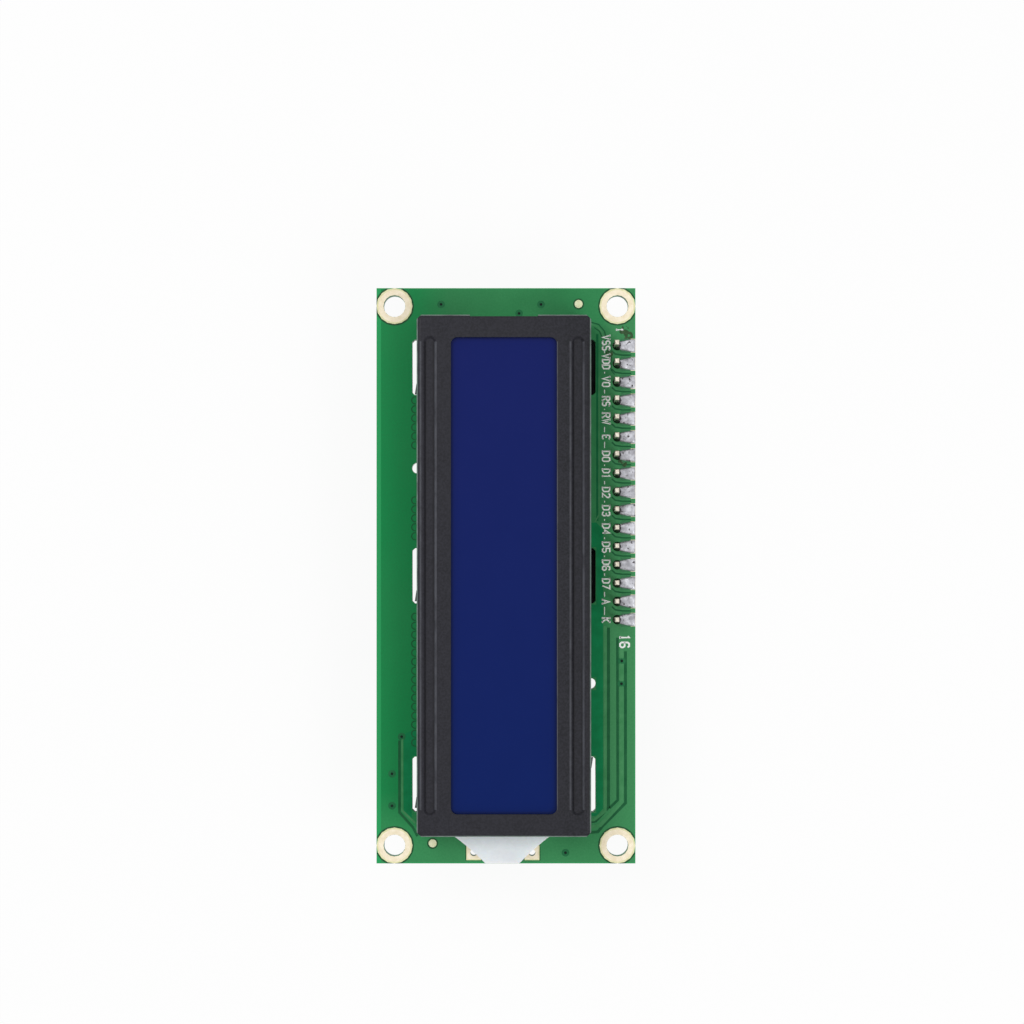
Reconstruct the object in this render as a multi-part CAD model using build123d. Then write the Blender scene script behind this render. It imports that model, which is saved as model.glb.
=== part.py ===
from build123d import *
import math
import os

os.makedirs("parts", exist_ok=True)

# A character display module seen face up, with a serial adapter board soldered behind it.
# +Z points out of the display, +X to the long edge with the header row, +Y to the end with pin 1.
# The origin is the middle of the four corner holes, on the front face of the display board.

# Display board
board_width = 36.0
board_length = 80.0
board_thickness = 1.6
corner_from_edge = 2.5
corner_hole_diameter = 3.0
corner_ring_diameter = 4.9
copper_thickness = 0.05
land_sides = 16
lead_sides = 8
locating_hole_diameter = 1.5
locating_hole_y = 15.0

# Header row that joins the two boards
pin_pitch = 2.54
pin_count = 16
pin_width = 0.64
pin_hole_diameter = 1.0
pin_tip_chamfer = 0.15
row_from_edge = 2.5
first_pin_from_end = 8.0
pin_above_board = 4.4
pin_below_adapter = 1.25
strip_depth = 2.5
strip_height = 2.54
strip_notch = 0.45
header_pad_width = 1.9

# Bezel: folded sheet with a window, two pressed grooves and twisted tabs
bezel_width = 23.8
bezel_from_end = 4.4
bezel_height = 7.0
bezel_sheet = 0.5
bezel_bend = 0.6
bezel_offset_x = -0.28
window_width = 14.45
window_end_margin = 3.1
window_corner = 0.9
groove_width = 1.1
groove_end_margin = 3.25
groove_depth = 0.3
groove_from_edge = 1.8
corner_cut = 0.65
end_notch_width = 9.3
end_notch_depth = 0.25
tab_width = 7.0
tab_from_end = 6.6
tab_reach = 1.45
tab_twist = 32.0
tab_lean = 0.85
tab_slide = 0.37
tab_bow = 0.9
tab_stations = 6
slot_length = 7.7
slot_width = 1.45
slot_corner = 0.35
slot_clearance = 0.1
land_width = 2.55
land_length = 7.15

# Liquid crystal cell and backlight
cell_clearance = 0.2
glass_thickness = 0.7
film_thickness = 0.2
polariser_clearance = 0.15
rear_glass_clearance = 0.25
zebra_width = 1.8
guide_margin = 0.15
guide_gap = 0.2
funnel_root_width = 13.95
funnel_root_x = -0.56
funnel_mouth_width = 4.7
funnel_mouth_x = -0.5
funnel_mouth_inset = 0.4
funnel_height = 3.0
funnel_overlap = 3.0
funnel_bow = -0.1
funnel_opening_gap = 0.4
lamp_width = 3.2
lamp_depth = 1.2
lamp_height = 2.4
lamp_clearance = 0.1
lamp_lead_width = 0.5
lamp_lead_spacing = 2.7
lamp_lead_hole = 0.8
lamp_pad_width = 2.1
lamp_pad_length = 1.65

# Lamp supply pads and other lands of the display board
supply_pad_side = 2.06
supply_hole_diameter = 0.95
supply_pad_left_x = -4.48
supply_pad_right_x = 3.62
supply_pad_from_end = 1.5
probe_pad_diameter = 1.86
probe_pad_x = (-1.8, 0.8)
probe_pad_from_end = 3.95
spare_capacitor_x = (-6.3, -2.8)
spare_capacitor_from_end = 9.85
spare_pad_spacing = 2.3
spare_pad_width = 1.45
spare_chip_x = 1.8
spare_chip_from_end = 10.8
spare_chip_columns = 4
spare_chip_pitch = 1.29
spare_chip_row_spacing = 5.7
spare_chip_pad_width = 0.72
spare_chip_pad_length = 1.95

# Blobs of black resin over the two bare chips
controller_x = -0.36
controller_y = 12.95
controller_diameter = 13.0
driver_x = 0.57
driver_y = -13.2
driver_diameter = 10.6
blob_height = 1.3
blob_bands = 3
blob_sides = 32
blob_flat_share = 0.14

# Adapter board
adapter_width = 18.4
adapter_end_margin = 0.28
adapter_thickness = 1.6
adapter_row_from_edge = 1.2
adapter_shift_y = 0.05

# Expander chip, placed from the middle of the adapter board
chip_x = 0.0
chip_y = -0.2
chip_length = 10.3
chip_width = 7.5
chip_height = 2.35
chip_standoff = 0.15
chip_draft = 7.0
chip_dimple_diameter = 1.0
chip_dimple_depth = 0.1
chip_dimple_inset = 1.6
leads_per_side = 8
lead_pitch = 1.27
lead_width = 0.42
lead_thickness = 0.25
lead_shoulder = 0.45
lead_foot = 0.75
lead_span = 10.3
chip_pad_width = 0.78
chip_pad_length = 2.0

# Contrast trimmer
trimmer_x = 1.4
trimmer_y = 11.15
trimmer_side = 7.0
trimmer_height = 4.9
trimmer_edge = 0.2
trimmer_base_thickness = 0.9
trimmer_base_inset = 0.4
rotor_diameter = 2.76
rotor_recess = 0.12
rotor_flange_diameter = 4.6
rotor_flange_thickness = 0.8
rotor_clearance = 0.05
rotor_slot_width = 0.63
rotor_slot_depth = 0.5
trimmer_leg_width = 0.5
trimmer_leg_spacing = 2.54
trimmer_leg_tail = 0.8

# Right-angle headers: the plastic stands on the board and the pins bend over it
serial_pin_count = 4
serial_x = -0.12
serial_from_end = 1.45
serial_tip_from_end = 6.45
jumper_pin_count = 2
jumper_x = 0.86
jumper_from_end = 1.4
jumper_tip_from_end = 5.4
bend_radius = 0.62
bend_lift = 0.3
leg_tail = 0.8
leg_hole_diameter = 1.0

# Shunt that joins the two jumper pins
cap_width = 4.93
cap_length = 5.8
cap_height = 2.4
cap_corner = 0.3
cap_from_end = 0.3
cap_bore_width = 1.5
cap_bore_depth = 5.35
cap_window_width = 1.15
cap_window_length = 1.8
cap_window_from_tip = 0.55
cap_groove_width = 0.9
cap_groove_depth = 0.12
clip_sheet = 0.2
clip_fit = 0.03
clip_length = 3.4
clip_bridge_length = 0.75

# Small parts, placed from the middle of the adapter board
small_length = 2.0
small_width = 1.25
resistor_height = 0.55
capacitor_height = 0.9
terminal_length = 0.4
small_pad_reach = 0.85
pad_thickness = 0.08
wedge_height = 0.4
resistor_column_x = -2.6
resistor_column_y = (-13.6, -11.1, -8.55)
resistor_stack_x = -7.3
resistor_stack_y = (-9.6, -5.15, -0.7)
single_resistor_x = 2.24
single_resistor_y = -11.65
capacitor_x = 2.24
capacitor_y = -9.1
power_led_x = -2.65
power_led_y = -16.1
power_led_length = 3.1
power_led_width = 1.4
power_led_height = 0.8
power_led_end = 0.5
transistor_x = 2.0
transistor_y = -15.2
transistor_length = 2.9
transistor_width = 1.3
transistor_height = 1.0
transistor_lead_spacing = 1.9
transistor_lead_width = 0.42
transistor_lead_thickness = 0.15
transistor_lead_reach = 0.55
transistor_lead_shoulder = 0.2
address_pad_x = -6.75
address_pad_y = (9.0, 11.4, 13.75)
address_pad_spacing = 1.5
address_pad_width = 0.8

# Chip resistors on the back of the display board, each with its distance from the nearer end
display_resistors_small = ((-4.1, 17.0), (-6.45, 9.35), (-4.1, 9.35), (-1.75, 9.35))
display_resistor_large_x = 12.68
display_resistor_large_from_end = 19.6
tiny_length = 1.6
tiny_width = 0.8
tiny_height = 0.45
tiny_terminal = 0.3
tiny_pad_reach = 0.35

# Solder
joint_base_diameter = 1.7
joint_tip_diameter = 1.0
joint_height = 0.75
lamp_joint_diameter = 1.3
edge_solder_thickness = 0.2
edge_solder_slope = 0.12


# Levels, from the display board down to the adapter's component side
board_back = -board_thickness
adapter_top = board_back - strip_height
adapter_back = adapter_top - adapter_thickness
pad_face = adapter_back - pad_thickness
arm_z = adapter_back - strip_height - bend_lift - pin_width / 2

# Places that follow from the sizes above
upper_end = board_length / 2
lower_end = -board_length / 2
bezel_length = board_length - 2 * bezel_from_end
groove_from_middle = bezel_width / 2 - groove_from_edge
window_length = bezel_length - 2 * window_end_margin
groove_length = bezel_length - 2 * groove_end_margin
tab_spacing = bezel_length / 2 - tab_from_end
polariser_width = 2 * (groove_from_middle - groove_width / 2 - bezel_sheet - polariser_clearance)
rear_glass_width = 2 * (groove_from_middle - zebra_width / 2 - rear_glass_clearance)
adapter_length = pin_count * pin_pitch + 2 * adapter_end_margin
row_x = board_width / 2 - row_from_edge
first_pin_y = upper_end - first_pin_from_end
row_y = first_pin_y - (pin_count - 1) * pin_pitch / 2
adapter_x = row_x + adapter_row_from_edge - adapter_width / 2
adapter_y = row_y + adapter_shift_y
serial_y = adapter_y + adapter_length / 2 - serial_from_end
jumper_y = adapter_y - adapter_length / 2 + jumper_from_end


def block(x, y, width, length, low, high):
    return Pos(x, y, (low + high) / 2) * Box(width, length, high - low)


def post(x, y, diameter, low, high):
    return Pos(x, y, (low + high) / 2) * Cylinder(diameter / 2, high - low)


def prism(outline, low, high):
    return extrude(Pos(0, 0, low) * outline, high - low)


def facet_post(x, y, diameter, sides, low, high):
    # A post with flat sides that touch the circle of that diameter.
    return prism(Pos(x, y) * RegularPolygon(diameter / 2, sides, major_radius=False), low, high)


def save(name, *pieces):
    solids = [solid for piece in pieces for solid in piece.solids()]
    shape = solids[0] if len(solids) == 1 else Compound(solids)
    export_step(shape, f"parts/{name}.step")


def evenly(count, pitch, middle):
    # Places one pitch apart, centred on the middle.
    return [middle + (index - (count - 1) / 2) * pitch for index in range(count)]


header_places = [(row_x, y) for y in evenly(pin_count, pin_pitch, row_y)]
corner_x = board_width / 2 - corner_from_edge
corner_y = board_length / 2 - corner_from_edge
corner_places = [(sx * corner_x, sy * corner_y) for sx in (-1, 1) for sy in (-1, 1)]
tab_places = [(side, step * tab_spacing) for side in (-1, 1) for step in (-1, 0, 1)]
flange_x = bezel_width / 2 - bezel_sheet
slot_x = flange_x - slot_clearance + slot_width / 2
supply_y = lower_end + supply_pad_from_end
supply_places = [(supply_pad_left_x, supply_y), (supply_pad_right_x, supply_y)]
mouth_y = lower_end + funnel_mouth_inset
lamp_y = mouth_y + lamp_clearance + lamp_depth / 2
lamp_lead_places = [(funnel_mouth_x + side * lamp_lead_spacing / 2, lamp_y) for side in (-1, 1)]


def display_board():
    board = block(0, 0, board_width, board_length, board_back, 0)
    holes = [post(x, y, corner_hole_diameter, board_back, 0) for x, y in corner_places]
    holes += [facet_post(x, y, pin_hole_diameter, lead_sides, board_back, 0) for x, y in header_places]
    holes += [facet_post(x, y, supply_hole_diameter, land_sides, board_back, 0) for x, y in supply_places]
    holes += [facet_post(x, y, lamp_lead_hole, lead_sides, board_back, 0) for x, y in lamp_lead_places]
    slot = chamfer(Rectangle(slot_width, slot_length).vertices(), slot_corner)
    for side, y in tab_places:
        holes.append(prism(Pos(bezel_offset_x + side * slot_x, y) * slot, board_back, 0))
    for side in (-1, 1):
        x = bezel_offset_x + side * slot_x
        y = -side * locating_hole_y
        holes.append(facet_post(x, y, locating_hole_diameter, land_sides, board_back, 0))
    return board - holes


def board_lands():
    # Bare copper on both faces: rings, supply pads, header pads, tab lands and the spare footprints.
    lands = []
    back = board_back - copper_thickness
    faces = ((0, copper_thickness), (back, board_back))
    for low, high in faces:
        for x, y in corner_places:
            ring = facet_post(x, y, corner_ring_diameter, land_sides, low, high)
            lands.append(ring - facet_post(x, y, corner_hole_diameter, land_sides, low, high))
        for x, y in supply_places:
            pad = block(x, y, supply_pad_side, supply_pad_side, low, high)
            lands.append(pad - facet_post(x, y, supply_hole_diameter, land_sides, low, high))
        inner = row_x + pin_hole_diameter / 2
        outer = board_width / 2
        for x, y in header_places:
            lands.append(block((inner + outer) / 2, y, outer - inner, header_pad_width, low, high))
    for side, y in tab_places:
        x = bezel_offset_x + side * (flange_x - slot_clearance - land_width / 2)
        lands.append(block(x, y, land_width, land_length, back, board_back))
    for x, y in lamp_lead_places:
        middle = lower_end + lamp_pad_length / 2
        pad = block(x, middle, lamp_pad_width, lamp_pad_length, back, board_back)
        lands.append(pad - facet_post(x, y, lamp_lead_hole, lead_sides, back, board_back))
    for x in probe_pad_x:
        y = lower_end + probe_pad_from_end
        lands.append(facet_post(x, y, probe_pad_diameter, land_sides, back, board_back))
    for x in spare_capacitor_x:
        for step in (-0.5, 0.5):
            y = lower_end + spare_capacitor_from_end + step * spare_pad_spacing
            lands.append(block(x, y, spare_pad_width, spare_pad_width, back, board_back))
    for x in evenly(spare_chip_columns, spare_chip_pitch, spare_chip_x):
        for step in (-0.5, 0.5):
            y = lower_end + spare_chip_from_end + step * spare_chip_row_spacing
            lands.append(block(x, y, spare_chip_pad_width, spare_chip_pad_length, back, board_back))
    return lands


def ring_points(x, y, z, radius, sides):
    turns = [math.tau * (index + 0.5) / sides for index in range(sides)]
    return [Vector(x + radius * math.cos(turn), y + radius * math.sin(turn), z) for turn in turns]


def skin(*outlines):
    # The solid through outlines with as many points each, its sides split into flat triangles.
    faces = [Face(Wire.make_polygon(outlines[0])), Face(Wire.make_polygon(outlines[-1]))]
    for lower, upper in zip(outlines, outlines[1:]):
        for index in range(len(lower)):
            a, b = lower[index - 1], lower[index]
            c, d = upper[index - 1], upper[index]
            faces += [Face(Wire.make_polygon((a, b, c))), Face(Wire.make_polygon((b, d, c)))]
    return Solid(Shell(faces))


def twisted_tab(side, y):
    # The tab runs straight through its slot, and behind the board it is twisted over its land.
    middle = flange_x + bezel_sheet / 2
    straight = block(middle, 0, bezel_sheet, tab_width, board_back, 0)
    radius = ((tab_width / 2) ** 2 + tab_bow ** 2) / (2 * tab_bow)
    half_angle = math.asin(tab_width / 2 / radius)
    bow_middle = tab_bow / 2 - radius
    tip = Vector(middle - tab_lean, tab_slide, board_back - tab_reach)
    flat = []
    bent = []
    for way in (1, -1):
        offset = way * bezel_sheet / 2
        for share in evenly(tab_stations, way / (tab_stations - 1), 0):
            flat.append(Vector(middle + offset, tab_width * share, board_back))
            angle = 2 * half_angle * share
            reach = radius + offset
            arm = Vector(bow_middle + reach * math.cos(angle), reach * math.sin(angle), 0)
            bent.append(tip + arm.rotate(Axis.Z, -tab_twist))
    tab = straight + skin(flat, bent)
    if side < 0:
        tab = Rot(0, 0, 180) * tab
    return Pos(bezel_offset_x, y, 0) * tab


def bezel():
    outer = block(0, 0, bezel_width, bezel_length, 0, bezel_height)
    outer = fillet(outer.faces().sort_by(Axis.Z)[-1].edges(), bezel_bend)
    inner_height = bezel_height - bezel_sheet
    inner = block(0, 0, bezel_width - 2 * bezel_sheet, bezel_length - 2 * bezel_sheet, 0, inner_height)
    inner = fillet(inner.faces().sort_by(Axis.Z)[-1].edges(), bezel_bend - bezel_sheet)
    shell = outer - inner
    for side in (-1, 1):
        place = Pos(side * groove_from_middle, 0, 0)
        pressed_width = groove_width + 2 * bezel_sheet
        boss = SlotOverall(groove_length + 2 * bezel_sheet, pressed_width, rotation=90)
        shell += place * prism(boss, inner_height - groove_depth, inner_height)
        floor = SlotOverall(groove_length, groove_width, rotation=90)
        lip = SlotOverall(groove_length + 2 * groove_depth, groove_width + 2 * groove_depth, rotation=90)
        low = Pos(0, 0, bezel_height - groove_depth) * floor
        high = Pos(0, 0, bezel_height) * lip
        shell -= place * loft([low.face(), high.face()], ruled=True)
    shell -= prism(RectangleRounded(window_width, window_length, window_corner), 0, bezel_height)
    corner = Rectangle(corner_cut * math.sqrt(2), corner_cut * math.sqrt(2), rotation=45)
    for sx in (-1, 1):
        for sy in (-1, 1):
            place = Pos(sx * bezel_width / 2, sy * bezel_length / 2)
            shell -= prism(place * corner, 0, bezel_height)
    shell -= block(0, bezel_length / 2, end_notch_width, 2 * bezel_sheet, 0, inner_height)
    shell -= block(0, bezel_length / 2, end_notch_width, 2 * end_notch_depth, 0, bezel_height)
    shell = Pos(bezel_offset_x, 0, 0) * shell
    opening = funnel_root_width + 2 * funnel_opening_gap
    opening_top = film_thickness + funnel_height + funnel_opening_gap
    shell -= block(funnel_root_x, -bezel_length / 2, opening, 2 * bezel_sheet, 0, opening_top)
    for side, y in tab_places:
        shell += twisted_tab(side, y)
    return shell


# Levels of the cell, from the pressed grooves down to the board
glass_top = bezel_height - bezel_sheet - groove_depth
glass_seam = glass_top - glass_thickness
glass_bottom = glass_seam - glass_thickness
guide_top = glass_bottom - 2 * film_thickness
cell_width = bezel_width - 2 * bezel_sheet - 2 * cell_clearance
cell_length = bezel_length - 2 * bezel_sheet - 2 * cell_clearance
zebra_x = groove_from_middle
guide_width = 2 * (zebra_x - zebra_width / 2 - guide_gap)
guide_length = cell_length - 2 * guide_margin


def plate(width, length, low, high):
    return block(bezel_offset_x, 0, width, length, low, high)


def light_guide():
    slab = plate(guide_width, guide_length, film_thickness, guide_top)
    root_y = -guide_length / 2 + funnel_overlap
    lip_y = -bezel_length / 2
    sides = []
    for side in (-1, 1):
        root = (funnel_root_x + side * funnel_root_width / 2, lip_y)
        mouth = (funnel_mouth_x + side * funnel_mouth_width / 2, mouth_y)
        middle = ((root[0] + mouth[0]) / 2 + side * funnel_bow, (root[1] + mouth[1]) / 2 - funnel_bow)
        sides.append(ThreePointArc(root, middle, mouth))
    left, right = sides
    throat = Polyline(left @ 0, ((left @ 0).X, root_y), ((right @ 0).X, root_y), right @ 0)
    funnel = make_face([left, right, throat, Line(left @ 1, right @ 1)])
    guide = slab + prism(funnel, film_thickness, film_thickness + funnel_height)
    pocket_width = lamp_width + 2 * lamp_clearance
    pocket_depth = lamp_depth + 2 * lamp_clearance
    pocket_top = film_thickness + lamp_height + lamp_clearance
    y = mouth_y + pocket_depth / 2
    return guide - block(funnel_mouth_x, y, pocket_width, pocket_depth, film_thickness, pocket_top)


def lamp():
    # Two flat leads run down from the body through the board.
    top = film_thickness + lamp_height
    body = block(funnel_mouth_x, lamp_y, lamp_width, lamp_depth, film_thickness, top)
    low = board_back - joint_height / 2
    for x, y in lamp_lead_places:
        body += block(x, y, lamp_lead_width, lamp_lead_width, low, film_thickness)
    return body


def blob(x, y, diameter):
    # A dome of resin on the back of the board, in flat bands that end in a small flat top.
    radius = ((diameter / 2) ** 2 + blob_height ** 2) / (2 * blob_height)
    half_angle = math.asin(diameter / 2 / radius)
    rings = []
    for band in range(blob_bands + 1):
        angle = half_angle * (1 - (1 - blob_flat_share) * band / blob_bands)
        height = radius * math.cos(angle) - radius + blob_height
        rings.append(ring_points(x, y, board_back - height, radius * math.sin(angle), blob_sides))
    return skin(*rings)


def solder_cone(x, y, foot, tip, lead_width, base_diameter=joint_base_diameter):
    # A cone of solder round a square lead, from its foot on the pad to its tip.
    base = ring_points(x, y, foot, base_diameter / 2, lead_sides)
    top = ring_points(x, y, tip, joint_tip_diameter / 2, lead_sides)
    return skin(base, top) - block(x, y, lead_width, lead_width, min(foot, tip), max(foot, tip))


def edge_spread(x, y, foot):
    # Solder that widens from the pin to the board's edge, with sloping sides.
    edge = board_width / 2
    outlines = []
    for z, inset in ((foot, 0), (foot + edge_solder_thickness, edge_solder_slope)):
        near = joint_tip_diameter / 2 - inset
        far = header_pad_width / 2 - inset
        points = ((x, -near), (edge - inset, -far), (edge - inset, far), (x, near))
        outlines.append([Vector(px, y + py, z) for px, py in points])
    return skin(*outlines)


def straight_pin(x, y, low, high):
    pin = block(x, y, pin_width, pin_width, low, high)
    ends = pin.faces().sort_by(Axis.Z)
    return chamfer(ends[0].edges() + ends[-1].edges(), pin_tip_chamfer)


def notched_strip(count):
    # Outline of a header's plastic: one cell for each pin, with a notch between neighbours.
    half = strip_depth / 2
    points = []
    for side in (1, -1):
        for step in evenly(count, pin_pitch, 0):
            middle = side * step
            start = middle - side * pin_pitch / 2
            end = middle + side * pin_pitch / 2
            points += [
                (start, side * (half - strip_notch)),
                (start + side * strip_notch, side * half),
                (end - side * strip_notch, side * half),
            ]
        points.append((end, side * (half - strip_notch)))
    return make_face(Polyline(*points, close=True))


def header_strip():
    outline = Pos(row_x, row_y) * Rot(0, 0, 90) * notched_strip(pin_count)
    high = board_back - copper_thickness
    strip = prism(outline, adapter_top, high)
    return strip - [block(x, y, pin_width, pin_width, adapter_top, high) for x, y in header_places]


def bent_pin(x, leg_y, way, tip_y):
    # The leg stands in the board and its plastic, and the arm runs over the plastic to the tip.
    half = pin_width / 2
    inner = bend_radius - half
    tail_z = adapter_top + leg_tail
    arm_low = arm_z - half
    arm_high = arm_z + half
    reach = abs(tip_y - leg_y)
    turn = (half + inner, arm_high + inner)
    slant = math.sqrt(0.5)
    inner_mid = (turn[0] - slant * inner, turn[1] - slant * inner)
    outer_mid = (turn[0] - slant * (inner + pin_width), turn[1] - slant * (inner + pin_width))
    leg_side = Polyline((-half, turn[1]), (-half, tail_z), (half, tail_z), (half, turn[1]))
    inside = ThreePointArc((half, turn[1]), inner_mid, (turn[0], arm_high))
    arm_side = Polyline((turn[0], arm_high), (reach, arm_high), (reach, arm_low), (turn[0], arm_low))
    outside = ThreePointArc((turn[0], arm_low), outer_mid, (-half, turn[1]))
    outline = make_face([leg_side, inside, arm_side, outside])
    section = Plane(origin=(x, leg_y, 0), x_dir=(0, way, 0), z_dir=(way, 0, 0))
    pin = extrude(section * outline, half, both=True)
    tip = pin.faces().sort_by(Axis((0, 0, 0), (0, way, 0)))[-1]
    return chamfer(tip.edges(), pin_tip_chamfer)


serial_columns = evenly(serial_pin_count, pin_pitch, adapter_x + serial_x)
jumper_columns = evenly(jumper_pin_count, pin_pitch, adapter_x + jumper_x)
lead_columns = evenly(leads_per_side, lead_pitch, adapter_x + chip_x)
adapter_end_high = adapter_y + adapter_length / 2
adapter_end_low = adapter_y - adapter_length / 2
trimmer_middle = (adapter_x + trimmer_x, adapter_y + trimmer_y)
trimmer_leg_places = [
    (trimmer_middle[0] + sx * trimmer_leg_spacing, trimmer_middle[1] + sy * trimmer_leg_spacing)
    for sx, sy in ((-1, -0.5), (0, 0.5), (1, -0.5))
]


def adapter_board():
    board = block(adapter_x, adapter_y, adapter_width, adapter_length, adapter_back, adapter_top)
    places = list(header_places)
    places += [(x, serial_y) for x in serial_columns]
    places += [(x, jumper_y) for x in jumper_columns]
    places += trimmer_leg_places
    holes = [facet_post(x, y, leg_hole_diameter, lead_sides, adapter_back, adapter_top) for x, y in places]
    return board - holes


def bent_header(columns, y):
    middle = (columns[0] + columns[-1]) / 2
    outline = Pos(middle, y) * notched_strip(len(columns))
    low = adapter_back - strip_height
    bores = [block(x, y, pin_width, pin_width, low, adapter_back) for x in columns]
    return prism(outline, low, adapter_back) - bores


def expander_chip():
    # Two drafted halves meet at the level where the leads come out.
    seam = adapter_back - chip_standoff - chip_height / 2
    outline = Rectangle(chip_length, chip_width)
    place = Pos(adapter_x + chip_x, adapter_y + chip_y, seam)
    half = extrude(outline, chip_height / 2, taper=chip_draft)
    body = place * (half + Rot(180, 0, 0) * half)
    x = adapter_x + chip_x - chip_length / 2 + chip_dimple_inset
    y = adapter_y + chip_y - chip_width / 2 + chip_dimple_inset
    face = seam - chip_height / 2
    return body - post(x, y, chip_dimple_diameter, face, face + chip_dimple_depth)


def gull_lead(body_half, span_half, shoulder, foot, thickness, rise):
    # Section of a lead, out from the body and up from its pad.
    points = (
        (body_half, rise + thickness / 2),
        (body_half + shoulder, rise + thickness / 2),
        (span_half - foot + thickness, thickness),
        (span_half, thickness),
        (span_half, 0),
        (span_half - foot, 0),
        (body_half + shoulder - thickness, rise - thickness / 2),
        (body_half, rise - thickness / 2),
    )
    return make_face(Polyline(*points, close=True))


def lead_solid(outline, x, y, way, width):
    # Stands the section on its pad, pointing along way, with its width across.
    across = Vector(*way).cross(Vector(0, 0, -1))
    section = Plane(origin=(x, y, pad_face), x_dir=way, z_dir=across)
    return extrude(section * outline, width / 2, both=True)


def expander_leads():
    rise = chip_standoff + chip_height / 2 - pad_thickness
    outline = gull_lead(chip_width / 2, lead_span / 2, lead_shoulder, lead_foot, lead_thickness, rise)
    leads = []
    for x in lead_columns:
        for way in ((0, 1, 0), (0, -1, 0)):
            leads.append(lead_solid(outline, x, adapter_y + chip_y, way, lead_width))
    return leads


def trimmer_body():
    # A box with a stepped bore: narrow for the rotor's head, wide for its flange.
    x, y = trimmer_middle
    top = adapter_back - trimmer_height
    body = block(x, y, trimmer_side, trimmer_side, top, adapter_back)
    body = chamfer(body.faces().sort_by(Axis.Z)[0].edges(), trimmer_edge)
    base_top = adapter_back - trimmer_base_thickness
    base_side = trimmer_side - 2 * trimmer_base_inset
    body -= block(x, y, base_side, base_side, base_top, adapter_back)
    flange_top = base_top - rotor_flange_thickness - 2 * rotor_clearance
    body -= post(x, y, rotor_flange_diameter + 2 * rotor_clearance, flange_top, base_top)
    return body - post(x, y, rotor_diameter + 2 * rotor_clearance, top, flange_top)


def trimmer_base():
    x, y = trimmer_middle
    side = trimmer_side - 2 * trimmer_base_inset
    return block(x, y, side, side, adapter_back - trimmer_base_thickness, adapter_back)


def trimmer_legs():
    tail = adapter_top + trimmer_leg_tail
    width = trimmer_leg_width
    return [block(x, y, width, width, adapter_back, tail) for x, y in trimmer_leg_places]


def trimmer_rotor():
    x, y = trimmer_middle
    top = adapter_back - trimmer_height + rotor_recess
    flange_low = adapter_back - trimmer_base_thickness - rotor_clearance
    flange_high = flange_low - rotor_flange_thickness
    rotor = post(x, y, rotor_diameter, top, flange_low)
    rotor += post(x, y, rotor_flange_diameter, flange_high, flange_low)
    slot_floor = top + rotor_slot_depth
    rotor -= block(x, y, rotor_slot_width, rotor_diameter, top, slot_floor)
    return rotor - block(x, y, rotor_diameter, rotor_slot_width, top, slot_floor)


cap_x = (jumper_columns[0] + jumper_columns[-1]) / 2
cap_inner_y = adapter_end_low - cap_from_end
cap_tip_y = cap_inner_y - cap_length
cap_y = (cap_inner_y + cap_tip_y) / 2
window_y = cap_tip_y + cap_window_from_tip + cap_window_length / 2


def jumper_cap():
    # Two square bores take the clip and the pins, and a window between them opens at the back and front.
    low = arm_z - cap_height / 2
    high = arm_z + cap_height / 2
    cap = block(cap_x, cap_y, cap_width, cap_length, low, high)
    cap = fillet(cap.edges().filter_by(Axis.Y), cap_corner)
    bore_low = arm_z - cap_bore_width / 2
    bore_high = arm_z + cap_bore_width / 2
    bore_y = cap_inner_y - cap_bore_depth / 2
    for x in jumper_columns:
        cap -= block(x, bore_y, cap_bore_width, cap_bore_depth, bore_low, bore_high)
    cap -= block(cap_x, window_y, cap_window_width, cap_window_length, low, high)
    slit = cap_tip_y + cap_window_from_tip + clip_bridge_length / 2
    cap -= block(cap_x, slit, pin_pitch, clip_bridge_length, bore_low, bore_high)
    groove = block(cap_x, slit, cap_width, cap_groove_width, low, low + cap_groove_depth)
    return cap - groove


def jumper_clip():
    # Two square sockets of folded sheet round the pins, joined by a bridge across the window.
    inner = pin_width + 2 * clip_fit
    outer = inner + 2 * clip_sheet
    tip_end = cap_tip_y + cap_window_from_tip
    low = arm_z - outer / 2
    high = arm_z + outer / 2
    clip = block(cap_x, tip_end + clip_bridge_length / 2, pin_pitch + outer, clip_bridge_length, low, high)
    clip += [block(x, tip_end + clip_length / 2, outer, clip_length, low, high) for x in jumper_columns]
    bores = [
        block(x, tip_end + clip_length / 2, inner, clip_length, low + clip_sheet, high - clip_sheet)
        for x in jumper_columns
    ]
    return clip - bores


def small_part(x, y, length, width, height, terminal, lengthwise, surface):
    # A chip part lies on its pads: the ceramic between the terminals, and the two terminals.
    low = surface - height
    middle = length - 2 * terminal
    step = (length - terminal) / 2
    if lengthwise:
        body = block(x, y, width, middle, low, surface)
        ends = [block(x, y + side * step, width, terminal, low, surface) for side in (-1, 1)]
    else:
        body = block(x, y, middle, width, low, surface)
        ends = [block(x + side * step, y, terminal, width, low, surface) for side in (-1, 1)]
    return body, ends


def wedge(x, y, way, length, width, height):
    # Solder that climbs the end of a part, from the far end of its pad.
    outline = make_face(Polyline((0, 0), (length, 0), (0, height), close=True))
    return lead_solid(outline, x, y, way, width)


resistor_places = [(resistor_column_x, y, False) for y in resistor_column_y]
resistor_places += [(single_resistor_x, single_resistor_y, False)]
resistor_places += [(resistor_stack_x, y, True) for y in resistor_stack_y]
small_places = resistor_places + [(capacitor_x, capacitor_y, False)]


def small_ways(lengthwise):
    return ((0, 1, 0), (0, -1, 0)) if lengthwise else ((1, 0, 0), (-1, 0, 0))


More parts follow.
